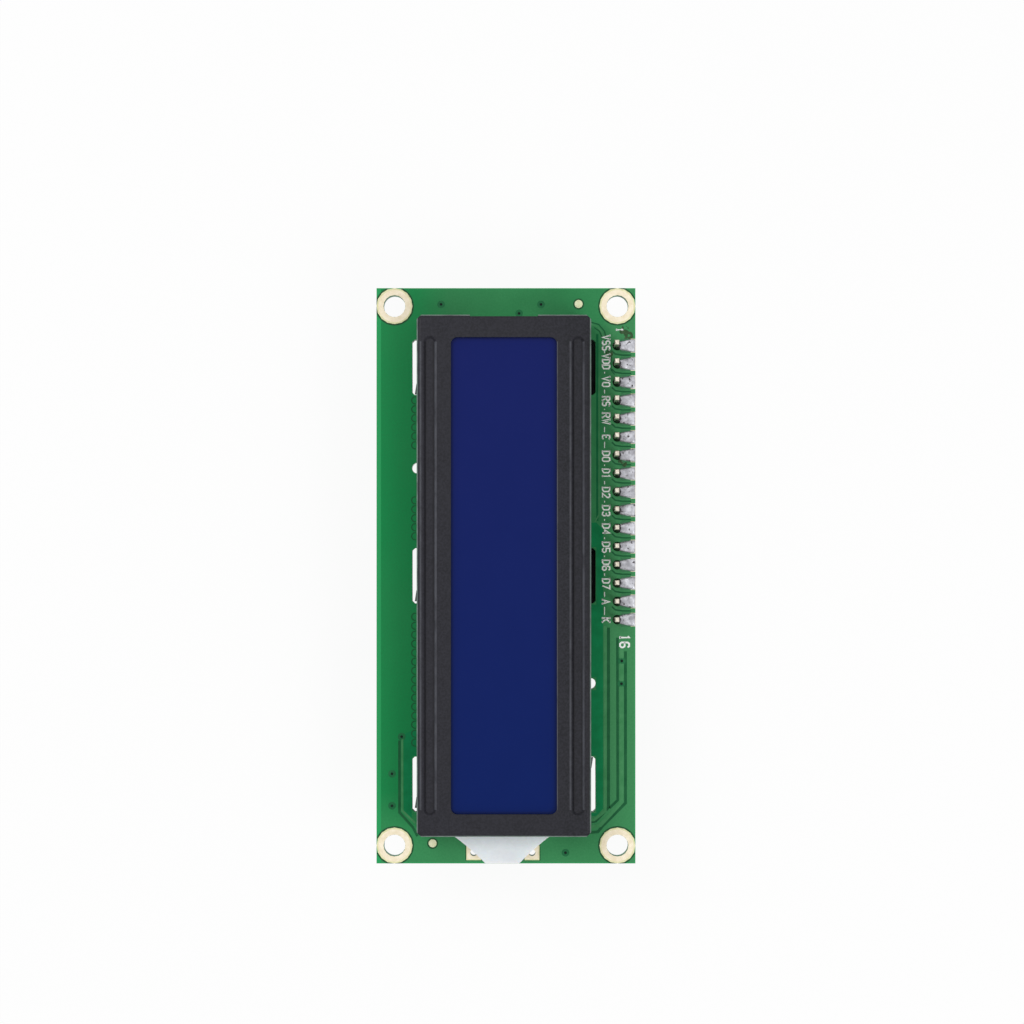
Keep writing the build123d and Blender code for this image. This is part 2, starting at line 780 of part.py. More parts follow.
def adapter_pads():
    # Tinned pads under every small part, the chip's leads and the address links.
    pads = []
    for x, y, lengthwise in small_places:
        for way in small_ways(lengthwise):
            offset = small_length / 2 - terminal_length + (terminal_length + small_pad_reach) / 2
            size = terminal_length + small_pad_reach
            width, length = (small_width, size) if lengthwise else (size, small_width)
            px = adapter_x + x + way[0] * offset
            py = adapter_y + y + way[1] * offset
            pads.append(block(px, py, width, length, pad_face, adapter_back))
    for side in (-1, 1):
        size = power_led_end + small_pad_reach / 2
        px = adapter_x + power_led_x + side * (power_led_length / 2 - power_led_end + size / 2)
        pads.append(block(px, adapter_y + power_led_y, size, power_led_width, pad_face, adapter_back))
    heel = lead_span / 2 - lead_foot
    for px in lead_columns:
        for side in (-1, 1):
            py = adapter_y + chip_y + side * (heel + chip_pad_length / 2)
            pads.append(block(px, py, chip_pad_width, chip_pad_length, pad_face, adapter_back))
    for px, py in transistor_feet():
        pads.append(block(px, py, transistor_lead_reach, 2 * transistor_lead_width, pad_face, adapter_back))
    side = address_pad_width
    for y in address_pad_y:
        for px in evenly(2, address_pad_spacing, adapter_x + address_pad_x):
            pads.append(block(px, adapter_y + y, side, side, pad_face, adapter_back))
    return pads


def chip_solder():
    wedges = []
    for x, y, lengthwise in small_places:
        for way in small_ways(lengthwise):
            px = adapter_x + x + way[0] * small_length / 2
            py = adapter_y + y + way[1] * small_length / 2
            wedges.append(wedge(px, py, way, small_pad_reach, small_width, wedge_height))
    toe = lead_span / 2
    length = chip_pad_length - lead_foot
    for px in lead_columns:
        for side in (-1, 1):
            py = adapter_y + chip_y + side * toe
            wedges.append(wedge(px, py, (0, side, 0), length, chip_pad_width, lead_thickness))
    return wedges


transistor_middle = (adapter_x + transistor_x, adapter_y + transistor_y)


def transistor_feet():
    # Middles of the three feet: two on the left of the body, one on the right.
    x, y = transistor_middle
    reach = transistor_width / 2 + transistor_lead_reach / 2
    step = transistor_lead_spacing / 2
    return [(x - reach, y - step), (x - reach, y + step), (x + reach, y)]


def transistor():
    x, y = transistor_middle
    body = block(x, y, transistor_width, transistor_length, pad_face - transistor_height, pad_face)
    return chamfer(body.faces().sort_by(Axis.Z)[0].edges(), transistor_lead_thickness)


def transistor_leads():
    rise = transistor_height / 2
    half = transistor_width / 2
    foot = transistor_lead_reach - transistor_lead_shoulder
    outline = gull_lead(
        half, half + transistor_lead_reach, transistor_lead_shoulder, foot, transistor_lead_thickness, rise
    )
    x = transistor_middle[0]
    leads = []
    for px, py in transistor_feet():
        way = (1, 0, 0) if px > x else (-1, 0, 0)
        leads.append(lead_solid(outline, x, py, way, transistor_lead_width))
    return leads


def save_small_parts():
    bodies = []
    ends = []
    sizes = (small_length, small_width, resistor_height, terminal_length)
    for x, y, lengthwise in resistor_places:
        body, tips = small_part(adapter_x + x, adapter_y + y, *sizes, lengthwise, pad_face)
        bodies.append(body)
        ends += tips
    save("adapter_resistors", *bodies)
    save("adapter_resistor_ends", *ends)
    sizes = (small_length, small_width, capacitor_height, terminal_length)
    body, ends = small_part(adapter_x + capacitor_x, adapter_y + capacitor_y, *sizes, False, pad_face)
    save("adapter_capacitor", body)
    save("adapter_capacitor_ends", *ends)
    sizes = (power_led_length, power_led_width, power_led_height, power_led_end)
    body, ends = small_part(adapter_x + power_led_x, adapter_y + power_led_y, *sizes, False, pad_face)
    save("power_led", body)
    save("power_led_ends", *ends)
    surface = board_back - copper_thickness
    sizes = (small_length, small_width, resistor_height, terminal_length)
    y = lower_end + display_resistor_large_from_end
    body, ends = small_part(display_resistor_large_x, y, *sizes, True, surface)
    bodies = [body]
    sizes = (tiny_length, tiny_width, tiny_height, tiny_terminal)
    for x, from_end in display_resistors_small:
        body, tips = small_part(x, upper_end - from_end, *sizes, True, surface)
        bodies.append(body)
        ends += tips
    save("display_resistors", *bodies)
    save("display_resistor_ends", *ends)


def display_resistor_pads():
    pads = []
    sizes = []
    for x, from_end in display_resistors_small:
        sizes.append((x, upper_end - from_end, tiny_length, tiny_width, tiny_pad_reach))
    y = lower_end + display_resistor_large_from_end
    sizes.append((display_resistor_large_x, y, small_length, small_width, small_pad_reach))
    low = board_back - copper_thickness
    for x, y, length, width, reach in sizes:
        # Each pad starts under a quarter of the part and reaches out past its end.
        pad_length = length / 4 + reach
        for side in (-1, 1):
            middle = y + side * (length / 4 + pad_length / 2)
            pads.append(block(x, middle, width, pad_length, low, board_back))
    return pads


def header_joints():
    # Joints on the front spread out along their pads to the board's edge.
    front = []
    foot = copper_thickness
    for x, y in header_places:
        spread = edge_spread(x, y, foot) - block(x, y, pin_width, pin_width, foot, foot + joint_height)
        front.append(spread + solder_cone(x, y, foot, foot + joint_height, pin_width))
    tip = adapter_back - joint_height
    back = [solder_cone(x, y, adapter_back, tip, pin_width) for x, y in header_places]
    return front, back


def leg_joints():
    tip = adapter_top + joint_height
    places = [(x, serial_y) for x in serial_columns] + [(x, jumper_y) for x in jumper_columns]
    joints = [solder_cone(x, y, adapter_top, tip, pin_width) for x, y in places]
    joints += [solder_cone(x, y, adapter_top, tip, trimmer_leg_width) for x, y in trimmer_leg_places]
    return joints


save("lcd_board", display_board())
save("board_pads", *board_lands(), *display_resistor_pads())
save("bezel", bezel())

polariser_length = window_length + polariser_width - window_width
save("front_polariser", plate(polariser_width, polariser_length, glass_top, glass_top + film_thickness))
save("front_glass", plate(cell_width, cell_length, glass_seam, glass_top))
save("rear_glass", plate(rear_glass_width, cell_length, glass_bottom, glass_seam))
save("rear_polariser", plate(guide_width, cell_length, glass_bottom - film_thickness, glass_bottom))
save("diffuser_film", plate(guide_width, guide_length, guide_top, guide_top + film_thickness))
save("light_guide", light_guide())
save("reflector_film", plate(guide_width, guide_length, 0, film_thickness))
for name, side in (("left_zebra_strip", -1), ("right_zebra_strip", 1)):
    x = bezel_offset_x + side * zebra_x
    save(name, block(x, 0, zebra_width, guide_length, 0, glass_seam))
save("backlight_led", lamp())
foot = board_back - copper_thickness
tip = board_back - joint_height
cone_sizes = (foot, tip, lamp_lead_width, lamp_joint_diameter)
save("led_solder", *[solder_cone(x, y, *cone_sizes) for x, y in lamp_lead_places])

save("controller_glob", blob(controller_x, controller_y, controller_diameter))
save("driver_glob", blob(driver_x, driver_y, driver_diameter))

pin_low = adapter_back - pin_below_adapter
save("header_pins", *[straight_pin(x, y, pin_low, pin_above_board) for x, y in header_places])
save("header_strip", header_strip())
front_joints, back_joints = header_joints()
save("front_solder", *front_joints)
save("rear_solder", *back_joints)

save("adapter_board", adapter_board())
save("adapter_pads", *adapter_pads())
save("chip_solder", *chip_solder())
save("leg_solder", *leg_joints())
save("expander_chip", expander_chip())
save("expander_leads", *expander_leads())
save("trimmer_body", trimmer_body())
save("trimmer_base", trimmer_base())
save("trimmer_legs", *trimmer_legs())
save("trimmer_rotor", trimmer_rotor())
save("serial_header", bent_header(serial_columns, serial_y))
serial_tip_y = adapter_end_high + serial_tip_from_end
save("serial_pins", *[bent_pin(x, serial_y, 1, serial_tip_y) for x in serial_columns])
save("jumper_header", bent_header(jumper_columns, jumper_y))
jumper_tip_y = adapter_end_low - jumper_tip_from_end
save("jumper_pins", *[bent_pin(x, jumper_y, -1, jumper_tip_y) for x in jumper_columns])
save("jumper_cap", jumper_cap())
save("jumper_clip", jumper_clip())
save("transistor", transistor())
save("transistor_leads", *transistor_leads())
save_small_parts()
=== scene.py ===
import math
import random

import bmesh
import bpy
from mathutils import Matrix, Vector


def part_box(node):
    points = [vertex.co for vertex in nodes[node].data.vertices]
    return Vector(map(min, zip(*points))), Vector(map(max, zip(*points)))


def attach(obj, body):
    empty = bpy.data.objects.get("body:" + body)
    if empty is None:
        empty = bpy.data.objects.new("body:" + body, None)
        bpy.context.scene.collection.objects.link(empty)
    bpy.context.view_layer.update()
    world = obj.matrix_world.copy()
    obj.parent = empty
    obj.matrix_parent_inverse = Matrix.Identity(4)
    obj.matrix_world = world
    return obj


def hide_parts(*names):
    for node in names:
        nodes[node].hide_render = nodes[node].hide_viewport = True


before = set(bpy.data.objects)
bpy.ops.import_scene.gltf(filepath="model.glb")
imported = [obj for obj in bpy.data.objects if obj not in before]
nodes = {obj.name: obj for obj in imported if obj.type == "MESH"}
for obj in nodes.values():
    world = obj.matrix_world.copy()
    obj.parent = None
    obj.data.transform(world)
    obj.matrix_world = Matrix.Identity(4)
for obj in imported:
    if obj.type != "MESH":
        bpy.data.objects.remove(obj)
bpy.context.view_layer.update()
scene = bpy.context.scene
mm = 0.001
print("frame loaded:", len(nodes), "nodes")


# shader helpers
def paint(red, green, blue):  # screen colour, 0 to 255, as the shader wants it
    channels = [(c / 255 + 0.055) / 1.055 if c > 10 else c / 255 / 12.92 for c in (red, green, blue)]
    return tuple(c ** 2.4 if value > 10 else c for c, value in zip(channels, (red, green, blue))) + (1.0,)


class Wire:  # a socket that takes arithmetic
    def __init__(self, finish, socket):
        self.finish = finish
        self.socket = socket

    def sum(self, operation, first, second):
        return self.finish.node("ShaderNodeMath", {"operation": operation}, {0: first, 1: second})

    def __add__(self, other):
        return self.sum("ADD", self, other)

    def __sub__(self, other):
        return self.sum("SUBTRACT", self, other)

    def __mul__(self, other):
        return self.sum("MULTIPLY", self, other)

    def __gt__(self, other):
        return self.sum("GREATER_THAN", self, other)

    def __lt__(self, other):
        return self.sum("LESS_THAN", self, other)

    def __abs__(self):
        return self.sum("ABSOLUTE", self, 0.0)


class Finish:  # one procedural material round a Principled shader
    def __init__(self, name, **constants):
        self.material = bpy.data.materials.new(name)
        self.material.use_nodes = True
        self.tree = self.material.node_tree
        self.shader = next(n for n in self.tree.nodes if n.type == "BSDF_PRINCIPLED")
        for socket, value in constants.items():
            self.shader.inputs[socket.replace("_", " ")].default_value = value
        self.place = self.node("ShaderNodeTexCoord", {}, {}, "Object")

    def node(self, kind, settings, sockets, output=0):
        made = self.tree.nodes.new(kind)
        for key, value in settings.items():
            if key == "stops":
                ramp = made.color_ramp
                while len(ramp.elements) < len(value):
                    ramp.elements.new(0.5)
                for element, (spot, colour) in zip(ramp.elements, value):
                    element.position = spot
                    element.color = colour
            else:
                setattr(made, key, value)
        for key, value in sockets.items():
            if isinstance(value, Wire):
                self.tree.links.new(value.socket, made.inputs[key])
            else:
                made.inputs[key].default_value = value
        return Wire(self, made.outputs[output])

    def axes(self):
        split = self.node("ShaderNodeSeparateXYZ", {}, {0: self.place})
        return [Wire(self, socket) for socket in split.socket.node.outputs]

    def noise(self, scale, detail=3.0, roughness=0.5, stretch=None):
        place = self.place
        if stretch:
            place = self.node("ShaderNodeMapping", {}, {"Vector": place, "Scale": stretch})
        sockets = {"Vector": place, "Scale": scale, "Detail": detail, "Roughness": roughness}
        return self.node("ShaderNodeTexNoise", {}, sockets)

    def blend(self, share, first, second):
        return self.node("ShaderNodeMix", {"data_type": "RGBA"}, {0: share, 6: first, 7: second}, 2)

    def spread(self, wire, low, high, toLow=0.0, toHigh=1.0):
        sockets = {"Value": wire, "From Min": low, "From Max": high, "To Min": toLow, "To Max": toHigh}
        return self.node("ShaderNodeMapRange", {}, sockets)

    def relief(self, height, distance):
        sockets = {"Strength": 1.0, "Distance": distance, "Height": height}
        self.feed("Normal", self.node("ShaderNodeBump", {}, sockets))

    def feed(self, socket, wire):
        self.tree.links.new(wire.socket, self.shader.inputs[socket])


def mottled(name, first, second, grain, rough, bump, contrast=(0.35, 0.65), **more):
    # two shades of one colour, uneven gloss and a fine relief
    made = Finish(name, **more)
    cloud = made.noise(grain, 4.0)
    made.feed("Base Color", made.blend(made.spread(cloud, *contrast), paint(*first), paint(*second)))
    fine = made.noise(grain * 5, 2.0)
    made.feed("Roughness", made.spread(fine, 0.3, 0.7, *rough))
    made.relief(made.noise(bump[0], 3.0), bump[1] * mm)
    return made


def boardMask(name, middle, half, tones, rim, margins, laminate, rough, regions=()):
    # solder mask over glass laminate: copper underneath, a bare margin, and cut laminate at the edges
    made = Finish(name, Specular_IOR_Level=0.12)
    x, y, z = made.axes()
    inX, inY = abs(x - middle[0] * mm), abs(y - middle[1] * mm)

    def outside(inset):
        pair = {0: inX > (half[0] - inset) * mm, 1: inY > (half[1] - inset) * mm}
        return made.node("ShaderNodeMath", {"operation": "MAXIMUM"}, pair)

    cloud = made.noise(160.0, 5.0)
    slow = made.noise(45.0, 2.0)
    grain = made.noise(3600.0, 1.0)
    mask = made.blend(made.spread(cloud, 0.35, 0.65), paint(*tones[0]), paint(*tones[1]))
    for way, start, stop, tone in regions:  # a slow drift of colour along x, y or through the board
        place = {"x": x, "y": y, "z": z}[way]
        share = made.spread(place, start * mm, stop * mm) * made.spread(slow, 0.3, 0.6, 0.7, 1.0)
        mask = made.blend(share, mask, paint(*tone))
    mask = made.blend(made.spread(grain, 0.3, 0.7, 0.0, 0.22), mask, paint(*tones[2]))
    leftRim = x < (middle[0] - half[0] + margins[0]) * mm
    bareRim = made.node("ShaderNodeMath", {"operation": "MAXIMUM"}, {0: outside(margins[1]), 1: leftRim})
    mask = made.blend(bareRim, mask, paint(*rim))
    fibre = made.noise(900.0, 2.0, stretch=(1.0, 1.0, 6.0))
    glassFibre = made.blend(made.spread(fibre, 0.35, 0.65), paint(*laminate[0]), paint(*laminate[1]))
    cut = outside(0.02)
    made.feed("Base Color", made.blend(cut, mask, glassFibre))
    made.feed("Roughness", made.spread(cloud, 0.3, 0.7, *rough) + cut * 0.3)
    warp, weft = (made.noise(2400.0, 1.0, stretch=way) for way in ((1.0, 0.25, 1.0), (0.25, 1.0, 1.0)))
    made.relief(warp + weft, 0.008 * mm)
    return made


matte = {"Specular_IOR_Level": 0.12}
maskShades = {  # solder mask over the tracks, between them and round the holes
    "trackGreen": ((60, 134, 82), (74, 146, 94)),
    # bare laminate beside the bezel, darker as a painted bezel shade
    "gapGreen": ((4, 102, 56), (10, 110, 62)),
    "bareGreen": ((0, 120, 68), (4, 130, 76)),
    "lineGreen": ((18, 86, 50), (30, 98, 58)),
    "rearTrack": ((30, 134, 86), (42, 146, 96)),
    "rearLine": ((0, 80, 46), (4, 90, 52)),
    "haloGreen": ((26, 78, 46), (36, 90, 54)),
    "viaGreen": ((28, 104, 62), (38, 114, 70)),
}
finishes = {
    "boardGreen": boardMask(
        "maskGreen", (0, 0), (18, 40), ((48, 131, 78), (55, 138, 84), (30, 112, 64)), (42, 158, 92),
        (0.62, 0.12), ((104, 160, 110), (150, 190, 140)), (0.36, 0.46),
        (("x", -8, -12.5, (14, 136, 73)), ("x", 13.2, 14.8, (68, 142, 90)), ("y", -30, -38, (62, 141, 88)),
         ("z", -0.7, -0.9, (40, 126, 88)))
    ),
    "boardBlack": boardMask(
        "maskBlack", (7.5, 13.0), (9.2, 20.6), ((50, 51, 53), (56, 57, 59), (62, 64, 67)), (52, 54, 56),
        (0.3, 0.3), ((110, 118, 100), (160, 164, 140)), (0.36, 0.5)
    ),
    "fluxStain": mottled("fluxStain", (40, 78, 46), (64, 90, 58), 1500, (0.3, 0.42), (2500, 0.01), **matte),
    "ink": mottled("legendInk", (232, 238, 232), (250, 252, 250), 2600, (0.55, 0.75), (6000, 0.008)),
    "stain": mottled("probeStain", (168, 122, 96), (196, 152, 122), 1500, (0.4, 0.52), (4200, 0.008)),
    "landEdge": mottled("landEdge", (224, 222, 168), (238, 236, 190), 1500, (0.36, 0.48), (4200, 0.008)),
    "gold": mottled("fiducialGold", (220, 222, 176), (236, 238, 202), 1500, (0.36, 0.48), (4200, 0.008)),
    "glass": mottled("cellGlass", (120, 135, 135), (140, 152, 150), 300, (0.08, 0.14), (700, 0.002)),
    "film": mottled("clearFilm", (170, 178, 178), (186, 194, 194), 300, (0.2, 0.3), (700, 0.004)),
    "rubber": mottled("contactRubber", (40, 40, 42), (64, 64, 66), 900, (0.6, 0.75), (2600, 0.02)),
    "guide": mottled(
        "guideAcrylic", (234, 235, 238), (246, 247, 248), 180, (0.22, 0.32), (900, 0.006),
        Subsurface_Weight=0.15
    ),
    "whiteFilm": mottled("whiteFilm", (222, 224, 222), (236, 238, 236), 300, (0.4, 0.5), (1200, 0.006)),
    "lamp": mottled("lampBody", (224, 220, 200), (240, 236, 220), 900, (0.35, 0.5), (3000, 0.01)),
    # black resin; its lighter blotches are painted soft highlights
    "resin": mottled(
        "blackResin", (10, 11, 14), (58, 59, 64), 150, (0.16, 0.26), (520, 0.05), Specular_IOR_Level=0.26
    ),
    "resistor": mottled("resistorGlaze", (26, 27, 30), (38, 39, 42), 1600, (0.3, 0.42), (5200, 0.008)),
    "tin": mottled("tinnedEnd", (196, 196, 196), (226, 226, 224), 1500, (0.26, 0.42), (3600, 0.02),
                   Metallic=0.9),
    "pin": mottled("tinnedPin", (206, 198, 180), (230, 224, 208), 1200, (0.24, 0.36), (2600, 0.008),
                   Metallic=0.95),
    "header": mottled("headerPlastic", (20, 21, 23), (28, 29, 32), 900, (0.42, 0.56), (4600, 0.012)),
    "capPlastic": mottled("shuntPlastic", (38, 36, 44), (47, 45, 54), 900, (0.46, 0.6), (4600, 0.014)),
    "chip": mottled("mouldedEpoxy", (24, 24, 26), (36, 36, 38), 1800, (0.5, 0.66), (5200, 0.02)),
    "trimmerBlue": mottled("trimmerBlue", (22, 92, 178), (34, 108, 196), 700, (0.36, 0.48), (3600, 0.01)),
    "trimmerBase": mottled("trimmerBase", (160, 150, 120), (180, 170, 140), 900, (0.5, 0.6), (3600, 0.01)),
    "rotor": mottled("rotorGrey", (176, 182, 186), (202, 206, 208), 900, (0.36, 0.5), (3600, 0.012)),
    "rotorSlot": mottled("slotShade", (98, 92, 84), (118, 112, 102), 900, (0.5, 0.65), (3600, 0.012)),
    "lens": mottled("lampLens", (196, 220, 198), (222, 238, 222), 900, (0.18, 0.3), (2600, 0.006),
                    Coat_Weight=0.6),
    "capacitor": mottled("capacitorTan", (186, 150, 110), (206, 172, 132), 1400, (0.4, 0.52), (4200, 0.01)),
    "wornSolder": mottled(
        "wornSolder", (52, 50, 52), (168, 166, 168), 1300, (0.24, 0.42), (2600, 0.03), (0.42, 0.6),
        Metallic=0.8
    ),
    # near-black solder of the front pin cones: dark flux and a painted dark reflection
    "fluxAndDarkReflection": mottled("fluxedSolderDarkReflection", (16, 13, 14), (34, 29, 30), 1500, (0.16, 0.3), (2600, 0.02),
                    Metallic=0.6),
    "hole": mottled("drilledShade", (4, 22, 16), (8, 34, 24), 2400, (0.5, 0.65), (5200, 0.01), **matte),
    "brightSolder": mottled(
        "brightSolder", (200, 200, 202), (240, 240, 240), 1500, (0.28, 0.42), (2600, 0.02), Metallic=0.4
    ),
    "dark": mottled("markShade", (20, 20, 24), (32, 32, 36), 2400, (0.5, 0.65), (5200, 0.01)),
}
for name, pair in maskShades.items():
    finishes[name] = mottled(name, *pair, 700, (0.36, 0.46), (2500, 0.006), **matte)


def screenFilm():
    # the dark blue polariser: a little more violet at the pin 1 end, darker near the frame
    made = Finish("screenFilm", Specular_IOR_Level=0.09, IOR=1.5)
    x, y, z = made.axes()
    along = made.spread(y, -0.0325, 0.0325)
    tone = made.blend(along, paint(3, 29, 94), paint(17, 29, 96))
    rimX = made.spread(abs(x + 0.28 * mm), 6.9 * mm, 7.25 * mm)
    rimY = made.spread(abs(y), 32.1 * mm, 32.5 * mm)
    rim = made.node("ShaderNodeMath", {"operation": "MAXIMUM"}, {0: rimX, 1: rimY})
    cloud = made.noise(240.0, 2.0)
    tone = made.blend(made.spread(cloud, 0.3, 0.7, 0.0, 0.12), tone, paint(4, 22, 80))
    made.feed("Base Color", made.blend(rim * 0.45, tone, paint(14, 24, 66)))
    made.feed("Roughness", made.spread(cloud, 0.3, 0.7, 0.16, 0.22))
    made.relief(made.noise(900.0, 2.0), 0.002 * mm)
    return made


def landFinish():
    # tinned copper, tan to cream; mask covers the front pads of the pin row, all but their outer ends
    made = Finish("bareLand", Metallic=0.1)
    x, y, z = made.axes()
    cloud = made.noise(1300.0, 4.0)
    tone = made.blend(made.spread(cloud, 0.35, 0.65), paint(240, 226, 194), paint(253, 242, 217))
    row = (x > 14.3 * mm) * (x < 17.35 * mm) * (abs(y - 12.95 * mm) < 20.3 * mm) * (z > -0.5 * mm)
    made.feed("Base Color", made.blend(row, tone, paint(36, 108, 66)))
    made.feed("Roughness", made.spread(cloud, 0.3, 0.7, 0.42, 0.54))
    made.relief(made.noise(4200.0, 3.0), 0.008 * mm)
    return made


def solderFinish():
    # bright tin with dull flux-stained patches and a few dark pits; darker beside the pins of the front, a
    # painted dark reflection
    made = Finish("solderMetal", Metallic=0.75)
    x, y, z = made.axes()
    cloud = made.noise(1100.0, 5.0, 0.6)
    pits = made.noise(2300.0, 3.0)
    tone = made.blend(made.spread(cloud, 0.35, 0.65), paint(150, 150, 156), paint(208, 209, 216))
    # painted dark reflection on the solder next to the front pins
    darkReflection = made.spread(x, 15.7 * mm, 16.7 * mm, 0.55, 0.0) * (z > -0.5 * mm)
    tone = made.blend(darkReflection, tone, paint(84, 82, 88))
    made.feed("Base Color", made.blend(made.spread(pits, 0.61, 0.69), tone, paint(52, 44, 46)))
    made.feed("Roughness", made.spread(cloud, 0.3, 0.7, 0.5, 0.36))
    made.relief(made.noise(2600.0, 4.0, 0.6), 0.02 * mm)
    return made


bezelLines = {  # painted highlight and shade lines by the grooves: place along x, half width, strength
    "light": (
        (-11.64, 0.13, 0.4), (-9.6, 0.15, 0.6), (8.78, 0.13, 0.35), (10.55, 0.14, 0.55), (7.0, 0.06, 0.5),
    ),
    "dark": (
        (-10.98, 0.15, 0.6), (-9.93, 0.09, 0.6), (9.26, 0.1, 0.9), (10.35, 0.08, 0.6), (11.2, 0.14, 0.5),
    ),
}


def bezelPaint():
    # satin black on folded sheet, with painted highlight and shade lines along the grooves and a painted
    # highlight on the bends
    made = Finish("bezelPaint", Specular_IOR_Level=0.22)
    x, y, z = made.axes()
    cloud = made.noise(300.0, 4.0)
    grit = made.noise(3800.0, 1.0)
    tone = made.blend(made.spread(cloud, 0.35, 0.65), paint(23, 23, 30), paint(28, 28, 35))
    tone = made.blend(made.spread(x, 7.0 * mm, 8.4 * mm, 0.0, 0.6), tone, paint(14, 16, 21))
    tone = made.blend(made.spread(grit, 0.35, 0.65, 0.0, 0.5), tone, paint(44, 44, 52))
    along = (abs(y) < 31.9 * mm) * (z > 6.5 * mm) * made.spread(made.noise(520.0, 3.0), 0.3, 0.6, 0.5, 1.0)
    # painted highlights and painted shade along the grooves and the window's right edge
    for kind, colour in (("light", paint(104, 106, 114)), ("dark", paint(10, 10, 14))):
        for place, half, strength in bezelLines[kind]:
            line = made.spread(abs(x - place * mm), half * 0.6 * mm, half * 1.3 * mm, strength, 0.0)
            tone = made.blend(line * along, tone, colour)
    outX = made.spread(abs(x + 0.28 * mm), 11.68 * mm, 11.8 * mm)
    outY = made.spread(abs(y), 35.38 * mm, 35.5 * mm)
    bend = made.node("ShaderNodeMath", {"operation": "MAXIMUM"}, {0: outX, 1: outY})
    # painted highlight along the outer bends of the top
    bendHighlight = bend * (z > 6.42 * mm) * made.spread(made.noise(700.0, 3.0), 0.3, 0.6, 0.3, 0.65)
    made.feed("Base Color", made.blend(bendHighlight, tone, paint(136, 158, 148)))
    made.feed("Roughness", made.spread(cloud, 0.3, 0.7, 0.4, 0.5))
    made.relief(made.noise(3600.0, 3.0), 0.01 * mm)
    return made


finishes["bezel"] = bezelPaint()
finishes["land"] = landFinish()
finishes["screen"] = screenFilm()
finishes["solder"] = solderFinish()
print("finishes made:", len(finishes))


# mesh helpers
faceLevel = {"front": 0.0, "rear": -1.6, "adapter": -5.74}
inkLevel = (-0.005, 0.03)
sharpAngle = 38.0  # degrees; edges that turn more are broken and shaded sharp
inks = {face: bmesh.new() for face in faceLevel}  # the white print of each face


def lift(face, height):  # height above one of the board faces, along its own outward side
    return height if face == "front" else faceLevel[face] - height


def ribbon(bm, path, width, face, low, high, closed=False):
    # a flat line of even width with mitred corners; sizes in millimetres
    points = [Vector(p[:2]) for p in path]
    count = len(points)
    rails = []
    for index, point in enumerate(points):
        ways = []
        if closed or index:
            ways.append((point - points[index - 1]).normalized())
        if closed or index < count - 1:
            ways.append((points[(index + 1) % count] - point).normalized())
        along = sum(ways, Vector((0, 0))).normalized()
        across = Vector((-along.y, along.x))
        fit = across.dot(Vector((-ways[0].y, ways[0].x)))
        offset = across * (width / 2 / max(fit, 0.5))
        corners = []
        for side in (point + offset, point - offset):
            for level in (low, high):
                corners.append(bm.verts.new((side.x * mm, side.y * mm, lift(face, level) * mm)))
        rails.append(corners)
    for index in range(count if closed else count - 1):
        a, b = rails[index], rails[(index + 1) % count]
        for i, j in ((1, 3), (2, 0), (0, 1), (3, 2)):
            bm.faces.new((a[i], a[j], b[j], b[i]))
    if not closed:
        for a in (rails[0], rails[-1]):
            bm.faces.new((a[0], a[1], a[3], a[2]))


def arc(x, y, radius, start=0.0, end=360.0, sides=48):
    closed = abs(end - start) >= 360
    count = sides if closed else sides + 1
    turns = [math.radians(start + (end - start) * step / sides) for step in range(count)]
    return [(x + radius * math.cos(turn), y + radius * math.sin(turn)) for turn in turns]


def prism(bm, outline, low, high):
    # a plate with upright sides between two heights
    lower = [bm.verts.new((x * mm, y * mm, low * mm)) for x, y in outline]
    upper = [bm.verts.new((x * mm, y * mm, high * mm)) for x, y in outline]
    bm.faces.new(lower)
    bm.faces.new(upper)
    for index in range(len(outline)):
        bm.faces.new((lower[index - 1], lower[index], upper[index], upper[index - 1]))


def plateOf(bm, outline, face, low, high):
    prism(bm, outline, lift(face, low), lift(face, high))


def stroke(face, path, width, closed=False):
    ribbon(inks[face], path, width, face, *inkLevel, closed=closed)


def box2(x0, y0, x1, y1):
    return [(x0, y0), (x1, y0), (x1, y1), (x0, y1)]


penStrokes = {  # letters as pen strokes on a grid 6 wide and 6 high; a slash lifts the pen
    "A": "10 36 50/22 42", "C": "55 46 26 15 11 20 40 51", "D": "10 16 36 55 51 30 10",
    "E": "56 16 10 50/13 43", "G": "55 46 26 15 11 20 40 51 53 33", "J": "56 51 40 20 11",
    "K": "10 16/56 12/23 50", "L": "16 10 50", "N": "10 16 50 56", "O": "20 11 15 26 46 55 51 40 20",
    "P": "10 16 46 55 54 43 13",
    "R": "10 16 46 55 54 43 13/33 50", "S": "55 46 26 15 14 23 43 52 51 40 20 11", "U": "16 11 20 40 51 56",
    "V": "16 30 56", "W": "16 20 34 40 56", "0": "20 11 15 26 46 55 51 40 20", "1": "25 36 30/20 40",
    "2": "15 26 46 55 54 10 50", "3": "15 26 46 55 54 43 23/43 52 51 40 20 11", "4": "40 46 12 52",
    "5": "56 16 13 43 52 51 40 20 11", "6": "55 46 26 15 11 20 40 51 52 43 13", "7": "16 56 20",
    "8": "23 14 15 26 46 55 54 43 23 12 11 20 40 51 52 43", "+": "13 53/31 35",
}
serifs = {
    "A": "00 20/40 60", "D": "00 10/06 16", "E": "00 10/06 16/56 55/50 51", "K": "00 20/06 26/40 60/46 66",
    "R": "00 20/06 16/40 60", "V": "06 26/46 66", "W": "06 26/46 66", "S": "55 56/11 10",
}


